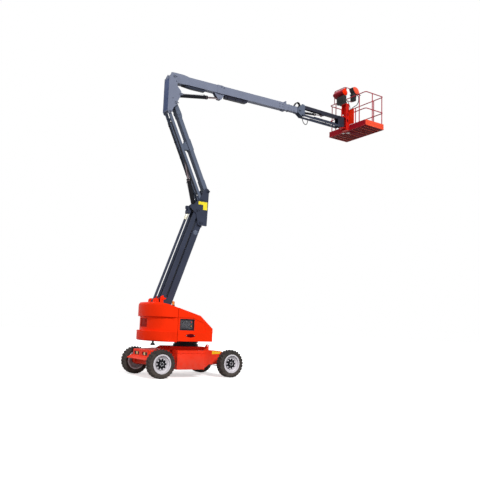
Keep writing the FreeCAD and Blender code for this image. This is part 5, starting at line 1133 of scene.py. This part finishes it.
def cylinder_fittings(name, pivot, slide, length, radius, rod):
    """Plated gland, ports, weld rings and the hard line on one barrel."""
    place = run_of(spot(pivot), JOINTS[slide]["axis"])
    gland = [
        bar((length - 0.004, 0, 0), (length + 0.004, 0, 0), radius + 0.002, 36, 0.002),
        bar((length - 0.052, 0, 0), (length - 0.040, 0, 0), radius + 0.007, 36, 0.002),
    ]
    only(gland[0])
    bpy.ops.object.mode_set(mode="EDIT")
    bpy.ops.mesh.select_mode(type="FACE")
    bpy.ops.mesh.select_all(action="DESELECT")
    bpy.ops.object.mode_set(mode="OBJECT")
    for polygon in gland[0].data.polygons:
        polygon.select = abs(polygon.normal.x) > 0.98 and polygon.area > radius * radius
    bpy.ops.object.mode_set(mode="EDIT")
    bpy.ops.mesh.inset(thickness=radius - rod)
    bpy.ops.mesh.bridge_edge_loops()
    bpy.ops.object.mode_set(mode="OBJECT")
    dress(moved(joined(gland), place), name + "_gland_rings", name + "_barrel", CHROME)
    side = radius + 0.004
    ports = [
        slab((length - 0.110, -0.016, radius - 0.006), (length - 0.070, 0.016, radius + 0.016),
             0.003),
        slab((0.080, -0.018, radius - 0.006), (0.140, 0.018, radius + 0.022), 0.003),
        bar((length - 0.090, 0, radius + 0.014), (length - 0.090, 0, radius + 0.030), 0.008, 6),
        bar((0.110, 0, radius + 0.020), (0.110, 0, radius + 0.034), 0.008, 6),
    ]
    dress(moved(joined(ports), place), name + "_ports", name + "_barrel", BLACK)
    line = hose(((length - 0.090, 0, radius + 0.026), (length - 0.120, 0, radius + 0.034),
                 (length - 0.180, 0.004, radius + 0.014), (length * 0.5, 0.006, radius + 0.010),
                 (0.240, 0.006, radius + 0.010), (0.160, 0.004, radius + 0.014),
                 (0.135, 0, radius + 0.018)), 0.006, place)
    dress(line, name + "_hard_line", name + "_barrel", STEEL, 60)


for row in CYLINDERS:
    cylinder_fittings(*row)


# Upright, boom and fly

def upright_fittings():
    """Back plate bolts, a darker sheet of painted shade on the back face, inspection dots and top
    stops of the upright.
    """
    rows = []
    for side in SIDES:
        for z in (-0.22, 0.05, 0.32, 0.59):
            rows.append(((-0.243, side * 0.115, z), (-1, 0, 0)))
        for x, z in ((-0.02, 0.60), (0.02, 0.50), (-0.10, 0.10)):
            rows.append(((x, side * 0.148, z), (0, side, 0)))
    dress(bolts(rows, 0.009, UPRIGHT), "upright_bolts", "upright", BLACK)
    # A thin darker sheet paints the shade on the upright's back face.
    back = slab((-0.2445, -0.140, -0.270), (-0.2425, 0.140, 0.640), 0.0008)
    dress(moved(back, UPRIGHT), "upright_back_shade_sheet", "upright", BACK_SHADE_GREY)
    stops = []
    for x, z in ((-0.160, 0.815), (-0.200, 0.700)):
        for near, far in ((-0.135, -0.108), (0.108, 0.135)):
            stops.append(slab((x - 0.016, near, z - 0.016), (x + 0.016, far, z + 0.016), 0.006))
    dress(moved(joined(stops), UPRIGHT), "upright_stops", "upright", BOOM_GREY)


def boom_fittings():
    """Side pad bolts, tray straps and the tip stop of the main boom."""
    rows = []
    for side in SIDES:
        for u, v in ((1.55, 0.055), (1.64, 0.050), (3.79, 0.02), (3.79, -0.06), (3.67, 0.02),
                     (3.67, -0.06)):
            rows.append(((u, side * 0.094 if u < 2 else side * 0.085, v), (0, side, 0)))
    dress(bolts(rows, 0.010, BOOM), "boom_side_bolts", "main_boom", BLACK)
    straps = []
    for u in (1.78, 2.05, 2.32):
        straps.append(slab((u - 0.012, -0.058, -0.236), (u + 0.012, 0.058, -0.134), 0.003))
    dress(moved(joined(straps), BOOM), "tray_straps", "main_boom", BLACK)
    lip = [
        slab((3.892, -0.098, 0.104), (3.918, 0.098, 0.150), 0.004),
        slab((3.760, -0.030, -0.168), (3.820, 0.030, -0.134), 0.004),
    ]
    dress(moved(joined(lip), BOOM), "boom_tip_stop", "main_boom", BOOM_GREY)


def tray_hoses():
    """Hose chain under the boom from the upright to the tray."""
    lines = []
    for i, y in enumerate((-0.040, -0.013, 0.014, 0.041)):
        drop = 0.010 * (i % 2)
        lines.append(hose(((0.30, y, -0.164 - drop), (0.50, y, -0.172 - drop),
                           (0.72, y, -0.176 - drop), (0.92, y, -0.172 - drop),
                           (1.04, y, -0.150)), 0.0105, BOOM))
    dress(joined(lines), "boom_hoses", "main_boom", HOSE, 60)
    guard = plate(((0.36, -0.150), (1.06, -0.150), (1.02, -0.196), (0.62, -0.202),
                   (0.40, -0.186)), -0.062, 0.062, 0.006)
    dress(moved(guard, BOOM), "hose_guard", "main_boom", RISER_SHADE_GREY)


def fly_fittings():
    """Bolts on the fly and the small lug under it."""
    rows = []
    for side in SIDES:
        for u, v in ((4.135, 0.050), (4.135, -0.090), (4.240, 0.040), (4.240, -0.080)):
            rows.append(((u, side * 0.065, v), (0, side, 0)))
    dress(bolts(rows, 0.009, BOOM), "fly_bolts", "boom_extension", BLACK)
    lug = slab((4.28, -0.020, -0.148), (4.34, 0.020, -0.112), 0.004)
    dress(moved(lug, BOOM), "fly_lug", "boom_extension", BOOM_GREY)


def boom_end_hoses():
    """Arch of hoses over the boom's end and the loop under the jib's foot."""
    arch = []
    for y in (-0.030, 0.000, 0.030):
        arch.append(hose(((-0.190, y, 0.098), (-0.150, y, 0.140), (-0.080, y, 0.265),
                          (0.020, y, 0.285), (0.075, y, 0.205), (0.085, y, 0.110)),
                         0.0150, BRACKET))
    arch = joined(arch)
    arch.name = "boom_end_arch"
    arch.data.materials.clear()
    arch.data.materials.append(HOSE)
    only(arch)
    bpy.ops.object.shade_smooth_by_angle(angle=math.radians(60))
    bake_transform(arch)
    loop = hose(((0.080, -0.100, -0.160), (0.095, -0.118, -0.290), (0.150, -0.124, -0.400),
                 (0.230, -0.124, -0.430), (0.300, -0.124, -0.370), (0.325, -0.112, -0.240)),
                0.012, BRACKET)
    loop.name = "jib_foot_loop"
    loop.data.materials.clear()
    loop.data.materials.append(HOSE)
    only(loop)
    bpy.ops.object.shade_smooth_by_angle(angle=math.radians(60))
    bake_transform(loop)


upright_fittings()
boom_fittings()
tray_hoses()
fly_fittings()
boom_end_hoses()


# Jib

def jib_fittings():
    """Cross ties and hose runs on the jib's link."""
    ties = []
    for u in (1.00, 1.24):
        ties.append(bar((u, -0.094, 0), (u, 0.094, 0), 0.011, 16))
    dress(moved(joined(ties), JIB_LINK), "jib_link_ties", "jib_link", BLACK)
    lines = []
    for y in (-0.108, 0.108):
        for offset in (-0.012, 0.012):
            lines.append(hose(((0.44, y + offset, 0.040), (0.60, y + offset, 0.041),
                               (0.80, y + offset, 0.039), (1.10, y + offset, 0.041),
                               (1.33, y + offset, 0.040)), 0.009, JIB_LINK))
    dress(joined(lines), "jib_hoses", "jib_link", HOSE, 60)


jib_fittings()


# Platform

NEAR = 0.240
DEPTH = 0.850
HALF = 0.875
TOE = 0.185
TOP_RAIL = 1.140


def floor_grating():
    """Pan, ribs and rims under the floor plate and raised studs on it."""
    across = copies(slab((NEAR + 0.112, -0.006, 0.0012), (NEAR + DEPTH - 0.062, 0.006, 0.0050), 0),
                    [PLATFORM @ Matrix.Translation((0, y, 0))
                     for y in [-0.77 + 0.14 * i for i in range(12)]])
    pan = slab((NEAR + 0.006, -HALF + 0.006, 0.0040), (NEAR + DEPTH - 0.006, HALF - 0.006, 0.0275), 0)
    # The pan and ribs are in dark red as painted shade under the floor.
    dress(joined([across, moved(pan, PLATFORM)]), "floor_grating", "platform",
          RED_IN_SHADE)
    rims = [slab((NEAR + x0, y0, 0.0005), (NEAR + x1, y1, 0.0035), 0.001)
            for x0, x1, y0, y1 in ((0.006, 0.110, -HALF + 0.006, HALF - 0.006),
                                   (DEPTH - 0.060, DEPTH - 0.006, -HALF + 0.006, HALF - 0.006),
                                   (0.110, DEPTH - 0.060, -HALF + 0.006, -HALF + 0.090),
                                   (0.110, DEPTH - 0.060, HALF - 0.090, HALF - 0.006),
                                   (0.110, DEPTH - 0.060, -0.075, 0.075))]
    dress(moved(joined(rims), PLATFORM), "floor_pan_rims", "platform", RED_PAN)
    stud = slab((-0.012, -0.004, 0.0345), (0.012, 0.004, 0.0375), 0.0012)
    places = []
    for i in range(19):
        for k in range(40):
            turn = Matrix.Rotation(math.radians(45 if (i + k) % 2 else -45), 4, "Z")
            at = Matrix.Translation((NEAR + 0.060 + 0.041 * i, -0.82 + 0.042 * k, 0))
            places.append(PLATFORM @ at @ turn)
    dress(copies(stud, places), "floor_studs", "platform", RED_IN_SHADE)


def toe_lips():
    """Folded lips along the toe boards, their middle crease and bottom clips."""
    pieces = []
    for low, high, depth in ((TOE - 0.006, TOE, 0.016), (0.000, 0.006, 0.020)):
        for side in SIDES:
            near, far = sorted((side * (HALF - 0.001), side * (HALF - depth)))
            pieces.append(slab((NEAR + 0.03, near, low), (NEAR + DEPTH - 0.03, far, high), 0.0015))
        for x, step in ((NEAR + 0.001, 1), (NEAR + DEPTH - 0.001, -1)):
            near, far = sorted((x, x + step * depth))
            pieces.append(slab((near, -HALF + 0.03, low), (far, HALF - 0.03, high), 0.0015))
    for side in SIDES:
        near, far = sorted((side * HALF, side * (HALF + 0.003)))
        pieces.append(slab((NEAR + 0.04, near, 0.095), (NEAR + DEPTH - 0.04, far, 0.103), 0.0014))
    for start, stop in ((-HALF + 0.04, -0.125), (0.125, HALF - 0.04)):
        pieces.append(slab((NEAR - 0.003, start, 0.095), (NEAR, stop, 0.103), 0.0014))
    dress(moved(joined(pieces), PLATFORM), "toe_lips", "platform", RED_DEEP)
    clips = []
    for i in range(16):
        y = -0.80 + 1.60 * i / 15
        clips.append(slab((NEAR + DEPTH - 0.030, y - 0.014, -0.0005),
                          (NEAR + DEPTH - 0.004, y + 0.014, 0.004), 0.001))
    dress(moved(joined(clips), PLATFORM), "floor_clips", "platform", BLACK)


def rail_feet():
    """Foot plates and bolts of the rail posts."""
    low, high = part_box("platform_rails")
    pieces = []
    rows = []
    near, far, side = NEAR + 0.022, NEAR + DEPTH - 0.022, HALF - 0.022
    posts = ((near + 0.092, side, 0), (NEAR + 0.56, side, 0), (far - 0.06, side, 0),
             (far, 0.43, 1), (far, -0.43, 1), (far - 0.06, -side, 0), (near + 0.30, -side, 0),
             (near, -0.56, 1), (near, 0.56, 1))
    for x, y, along_y in posts:
        half_x, half_y = (0.026, 0.045) if along_y else (0.045, 0.026)
        x_at = min(max(x, NEAR + 0.034), NEAR + DEPTH - 0.034)
        y_at = min(max(y, -HALF + 0.034), HALF - 0.034)
        pieces.append(slab((x_at - half_x, y_at - half_y, 0.035),
                           (x_at + half_x, y_at + half_y, 0.043), 0.0015))
        for step in (-1, 1):
            at = (x_at + (0 if along_y else step * 0.033), y_at + (step * 0.033 if along_y else 0),
                  0.043)
            rows.append((at, (0, 0, 1)))
    dress(moved(joined(pieces), PLATFORM), "post_feet", "platform", RED_RAIL)
    dress(bolts(rows, 0.007, PLATFORM), "post_bolts", "platform", BLACK)


def console_hood():
    """Tilted hood over the platform controls: faces darkened as painted shade, and a bright end cap.
    """
    section = ((-0.169, 1.385), (-0.150, 1.330), (-0.020, 1.262), (0.050, 1.300), (0.070, 1.400),
               (-0.016, 1.518), (-0.063, 1.525))
    points = [(NEAR + x, z) for x, z in section]
    body = plate(points, 0.056, 0.530, 0.014)
    dress(moved(body, PLATFORM), "console_hood", "platform", RED_HOOD_SHADE)
    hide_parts("console_cover")
    cap = plate(points, 0.046, 0.056, 0.004)
    dress(moved(cap, PLATFORM), "console_hood_end", "platform", RED_COVER)
    lid = plate(((NEAR - 0.155, 1.402), (NEAR - 0.066, 1.517), (NEAR - 0.070, 1.5215),
                 (NEAR - 0.161, 1.405)), 0.070, 0.516, 0.001)
    dress(moved(lid, PLATFORM), "console_hood_lid", "platform", RED_RAIL)


def console_body():
    """Black control box between the hood and the mast, with its bellows foot."""
    body = plate([(NEAR + x, z) for x, z in ((-0.130, 1.020), (-0.136, 1.200), (-0.110, 1.270),
                                             (0.010, 1.262), (0.004, 1.000), (-0.090, 0.985))],
                 0.030, 0.372, 0.010)
    foot = slab((NEAR - 0.120, -0.020, 0.9165), (NEAR - 0.006, 0.220, 1.010), 0.008)
    ribs = [slab((NEAR - 0.140, 0.036, z), (NEAR - 0.128, 0.366, z + 0.010), 0.003)
            for z in (1.060, 1.110, 1.160)]
    dress(moved(joined([body, foot] + ribs), PLATFORM), "console_body", "platform",
          PLASTIC)
    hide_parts("control_console")


def side_hood():
    """Arched shroud over the drive control, with its black box and cable."""
    outer = [(-0.010, 1.455), (0.060, 1.488), (0.130, 1.490), (0.205, 1.460), (0.256, 1.405),
             (0.285, 1.325), (0.270, 1.300), (0.120, 1.252), (0.070, 1.300), (0.010, 1.385)]
    shroud = plate([(NEAR + x, z) for x, z in outer], -0.300, -0.120, 0.012)
    dress(moved(shroud, PLATFORM), "side_hood", "platform", RED_SHADE)
    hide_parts("side_cover")
    cuff = plate([(NEAR + x, z) for x, z in ((-0.020, 1.450), (0.004, 1.380), (0.066, 1.296),
                                             (0.116, 1.246), (0.104, 1.238), (0.052, 1.288),
                                             (-0.012, 1.376), (-0.034, 1.440))],
                 -0.296, -0.124, 0.003)
    box = slab((NEAR + 0.020, -0.290, 1.010), (NEAR + 0.150, -0.130, 1.262), 0.012)
    neck = slab((NEAR + 0.040, -0.262, 1.157), (NEAR + 0.190, -0.158, 1.262), 0.010)
    knob = bar((NEAR + 0.010, -0.190, 1.180), (NEAR - 0.040, -0.190, 1.215), 0.020, 24, 0.005)
    dress(moved(joined([cuff, box, neck, knob]), PLATFORM), "side_control_box", "platform",
          PLASTIC)
    flap = slab((NEAR + 0.130, -0.330, 1.236), (NEAR + 0.330, -0.290, 1.246), 0.003)
    dress(moved(flap, PLATFORM), "side_hood_flap", "platform", BRACKET_BROWN)
    cable = hose(((NEAR + 0.140, -0.300, 1.230), (NEAR + 0.210, -0.330, 1.190),
                  (NEAR + 0.225, -0.330, 1.080), (NEAR + 0.215, -0.320, 0.960),
                  (NEAR + 0.170, -0.280, 0.860), (NEAR + 0.080, -0.200, 0.800),
                  (NEAR + 0.030, -0.140, 0.700)), 0.013, PLATFORM)
    dress(cable, "side_control_cable", "platform", HOSE, 60)


def mast_plate():
    """Upright plate beside the mast, with its folded bright edge."""
    face = slab((NEAR - 0.0075, -0.345, 0.188), (NEAR - 0.0035, -0.114, 0.700), 0.0015)
    lip = slab((NEAR - 0.030, -0.350, 0.188), (NEAR - 0.004, -0.344, 0.700), 0.0015)
    top = slab((NEAR - 0.030, -0.350, 0.694), (NEAR - 0.004, -0.114, 0.700), 0.0015)
    dress(moved(joined([face, lip, top]), PLATFORM), "mast_plate", "platform",
          RED_PAINT)
    pads = [slab((NEAR + 0.03, 0.20, -0.0010), (NEAR + 0.13, 0.29, 0.0010), 0.0006),
            slab((NEAR + 0.12, 0.06, -0.0010), (NEAR + 0.24, 0.17, 0.0010), 0.0006)]
    dress(moved(joined(pads), PLATFORM), "floor_pads", "platform", PALE)


def console_fittings():
    """Switches and the stop button on the black control box."""
    signal = [bar((NEAR + 0.006, 0.300, 1.200), (NEAR + 0.030, 0.300, 1.200), 0.020, 28, 0.005)]
    pale = [bar((NEAR + 0.006, 0.070 + 0.040 * i, 1.130), (NEAR + 0.022, 0.070 + 0.040 * i, 1.136),
                0.005, 12) for i in range(6)]
    for kind, pieces, slot, coat in (("stop", signal, "red_paint", SIGNAL),
                                     ("switches", pale, "rim_white", PALE)):
        dress(moved(joined(pieces), PLATFORM), "console_" + kind, "platform", coat)


def hand_loop_flag():
    """Small plate at the corner of the raised hand loop, in dark red as painted shade."""
    loop_top = TOP_RAIL + 0.460
    x = NEAR + 0.022
    flag = plate(((x + 0.010, loop_top - 0.016), (x + 0.075, loop_top - 0.016),
                  (x + 0.060, loop_top - 0.120), (x + 0.030, loop_top - 0.130)),
                 0.116, 0.124, 0.002)
    dress(moved(flag, PLATFORM), "hand_loop_flag", "platform", RED_IN_SHADE)


def foot_switch():
    """Foot switch on the floor."""
    body = slab((NEAR + 0.30, 0.10, 0.0385), (NEAR + 0.48, 0.24, 0.090), 0.012)
    pedal = slab((NEAR + 0.32, 0.115, 0.092), (NEAR + 0.46, 0.225, 0.104), 0.005)
    hood = slab((NEAR + 0.29, 0.09, 0.140), (NEAR + 0.40, 0.25, 0.150), 0.004)
    cheeks = [slab((NEAR + 0.29, y, 0.0385), (NEAR + 0.40, y + 0.006, 0.148), 0.002)
              for y in (0.090, 0.244)]
    dress(moved(joined([body, pedal, hood] + cheeks), PLATFORM), "foot_switch", "platform",
          PLASTIC)


def mast_fittings():
    """Rings of the mast's holes and bolts."""
    rows = []
    for side in SIDES:
        for x, z in ((0.125, 0.05), (0.205, 0.05), (0.125, 0.42), (0.205, 0.66), (0.125, 0.86),
                     (0.205, 0.86)):
            rows.append(((x, side * 0.110, z), (0, side, 0)))
    dress(bolts(rows, 0.008, PLATFORM), "mast_bolts", "platform", BLACK)
    rings = []
    for side in SIDES:
        for z in (0.320, 0.530):
            bpy.ops.object.select_all(action="DESELECT")
            bpy.ops.mesh.primitive_torus_add(
                location=(0.170, side * 0.111, z), rotation=(math.pi / 2, 0, 0),
                major_radius=0.050, minor_radius=0.004, major_segments=40, minor_segments=8)
            rings.append(settle(bpy.context.object))
    for ring in rings:
        settle(ring)
    dress(moved(joined(rings), PLATFORM), "mast_hole_beads", "platform", RED_DEEP)


def platform_cables():
    """Cables from the console down the rail side to the floor."""
    x = NEAR + 0.060
    lines = [
        hose(((x, 0.10, 1.10), (x + 0.020, 0.08, 0.98), (x + 0.030, 0.05, 0.80),
              (x + 0.020, 0.04, 0.60), (x + 0.010, 0.02, 0.40), (x + 0.016, 0.02, 0.20),
              (x + 0.040, 0.06, 0.090), (x + 0.120, 0.12, 0.060), (x + 0.240, 0.16, 0.060)),
             0.010, PLATFORM),
        hose(((x, 0.04, 1.10), (x + 0.050, 0.00, 0.96), (x + 0.060, -0.04, 0.78),
              (x + 0.030, -0.05, 0.60), (x, -0.03, 0.46), (x - 0.030, -0.02, 0.40)),
             0.012, PLATFORM),
        hose(((x, 0.16, 1.10), (x + 0.030, 0.15, 0.90), (x + 0.036, 0.12, 0.72),
              (x + 0.010, 0.09, 0.56), (x - 0.020, 0.07, 0.46), (x - 0.032, 0.06, 0.42)),
             0.012, PLATFORM),
    ]
    dress(joined(lines), "platform_cables", "platform", HOSE, 60)
    box = slab((NEAR + 0.004, -0.050, 0.300), (NEAR + 0.060, 0.090, 0.460), 0.006)
    dress(moved(box, PLATFORM), "socket_box", "platform", PALE)


floor_grating()
toe_lips()
rail_feet()
console_hood()
console_body()
side_hood()
mast_plate()
console_fittings()
hand_loop_flag()
foot_switch()
mast_fittings()
platform_cables()


# Floor, light and camera

FLOOR_SIZE = 120.0
BACKDROP = (1.0, 1.0, 1.0)
FLOOR_BOUNCE = 0.30


def seen_share(tree):
    """1 where a ray comes from the camera or a mirror-like bounce, else 0."""
    path = tree.nodes.new("ShaderNodeLightPath")
    first = tree.nodes.new("ShaderNodeMath")
    first.operation = "MAXIMUM"
    second = tree.nodes.new("ShaderNodeMath")
    second.operation = "MAXIMUM"
    tree.links.new(path.outputs["Is Camera Ray"], first.inputs[0])
    tree.links.new(path.outputs["Is Glossy Ray"], first.inputs[1])
    tree.links.new(first.outputs["Value"], second.inputs[0])
    tree.links.new(path.outputs["Is Transmission Ray"], second.inputs[1])
    return second.outputs["Value"]


def studio_floor():
    """Pale floor that keeps the lift's shadow."""
    bpy.ops.object.select_all(action="DESELECT")
    bpy.ops.mesh.primitive_plane_add(size=FLOOR_SIZE, location=(0, 0, 0))
    floor = bpy.context.object
    floor.name = "studio_floor"
    material = bpy.data.materials.new("studio_floor")
    material.use_nodes = True
    tree = material.node_tree
    tree.nodes.clear()
    out = tree.nodes.new("ShaderNodeOutputMaterial")
    diffuse = tree.nodes.new("ShaderNodeBsdfDiffuse")
    diffuse.inputs["Color"].default_value = (0.86, 0.86, 0.86, 1)
    bounce = tree.nodes.new("ShaderNodeBsdfDiffuse")
    bounce.inputs["Color"].default_value = (FLOOR_BOUNCE, FLOOR_BOUNCE, FLOOR_BOUNCE, 1)
    glow = tree.nodes.new("ShaderNodeEmission")
    glow.inputs["Color"].default_value = (*BACKDROP, 1)
    glow.inputs["Strength"].default_value = 0.55
    add = tree.nodes.new("ShaderNodeAddShader")
    mix = tree.nodes.new("ShaderNodeMixShader")
    tree.links.new(diffuse.outputs["BSDF"], add.inputs[0])
    tree.links.new(glow.outputs["Emission"], add.inputs[1])
    tree.links.new(seen_share(tree), mix.inputs["Fac"])
    tree.links.new(bounce.outputs["BSDF"], mix.inputs[1])
    tree.links.new(add.outputs["Shader"], mix.inputs[2])
    tree.links.new(mix.outputs["Shader"], out.inputs["Surface"])
    floor.data.materials.append(material)


WORLD_LIGHT = 0.50
SUN_STRENGTH = 2.2
SUN_FROM = Vector((-0.10, -0.86, 0.55))
FILL_STRENGTH = 0.60
FILL_FROM = Vector((-0.9, -0.2, 0.5))


def sky():
    """Plain white surroundings, brighter to the eye than as a light."""
    world = bpy.data.worlds.new("studio")
    bpy.context.scene.world = world
    world.use_nodes = True
    tree = world.node_tree
    tree.nodes.clear()
    out = tree.nodes.new("ShaderNodeOutputWorld")
    dim = tree.nodes.new("ShaderNodeBackground")
    dim.inputs["Color"].default_value = (*BACKDROP, 1)
    dim.inputs["Strength"].default_value = WORLD_LIGHT
    white = tree.nodes.new("ShaderNodeBackground")
    white.inputs["Color"].default_value = (*BACKDROP, 1)
    white.inputs["Strength"].default_value = 1.0
    mix = tree.nodes.new("ShaderNodeMixShader")
    tree.links.new(seen_share(tree), mix.inputs["Fac"])
    tree.links.new(dim.outputs["Background"], mix.inputs[1])
    tree.links.new(white.outputs["Background"], mix.inputs[2])
    tree.links.new(mix.outputs["Shader"], out.inputs["Surface"])


def sun(name, source, strength, softness):
    lamp = bpy.data.lights.new(name, "SUN")
    lamp.energy = strength
    lamp.angle = math.radians(softness)
    holder = bpy.data.objects.new(name, lamp)
    holder.rotation_euler = source.to_track_quat("Z", "Y").to_euler()
    bpy.context.scene.collection.objects.link(holder)


EYE = Vector((-7.652, -14.025, 1.380))
YAW = 0.58391
PITCH = 0.14209
ROLL = 0.03621
LENS = 44.23


def camera():
    """The photograph's viewpoint: bearing from +Y towards +X, pitch up, and roll."""
    ahead = Vector((math.sin(YAW) * math.cos(PITCH), math.cos(YAW) * math.cos(PITCH),
                    math.sin(PITCH)))
    right = Vector((math.cos(YAW), -math.sin(YAW), 0))
    up = right.cross(ahead)
    rolled_right = right * math.cos(ROLL) + up * math.sin(ROLL)
    rolled_up = up * math.cos(ROLL) - right * math.sin(ROLL)
    data = bpy.data.cameras.new("photo_view")
    data.sensor_width = 36.0
    data.lens = LENS
    data.clip_end = 200.0
    holder = bpy.data.objects.new("photo_view", data)
    turn = Matrix((rolled_right, rolled_up, -ahead)).transposed().to_4x4()
    holder.matrix_world = Matrix.Translation(EYE) @ turn
    bpy.context.scene.collection.objects.link(holder)
    bpy.context.scene.camera = holder


studio_floor()
sky()
sun("key_light", SUN_FROM, SUN_STRENGTH, 8.0)
sun("fill_light", FILL_FROM, FILL_STRENGTH, 30.0)
camera()
bpy.context.scene.view_settings.view_transform = "Standard"
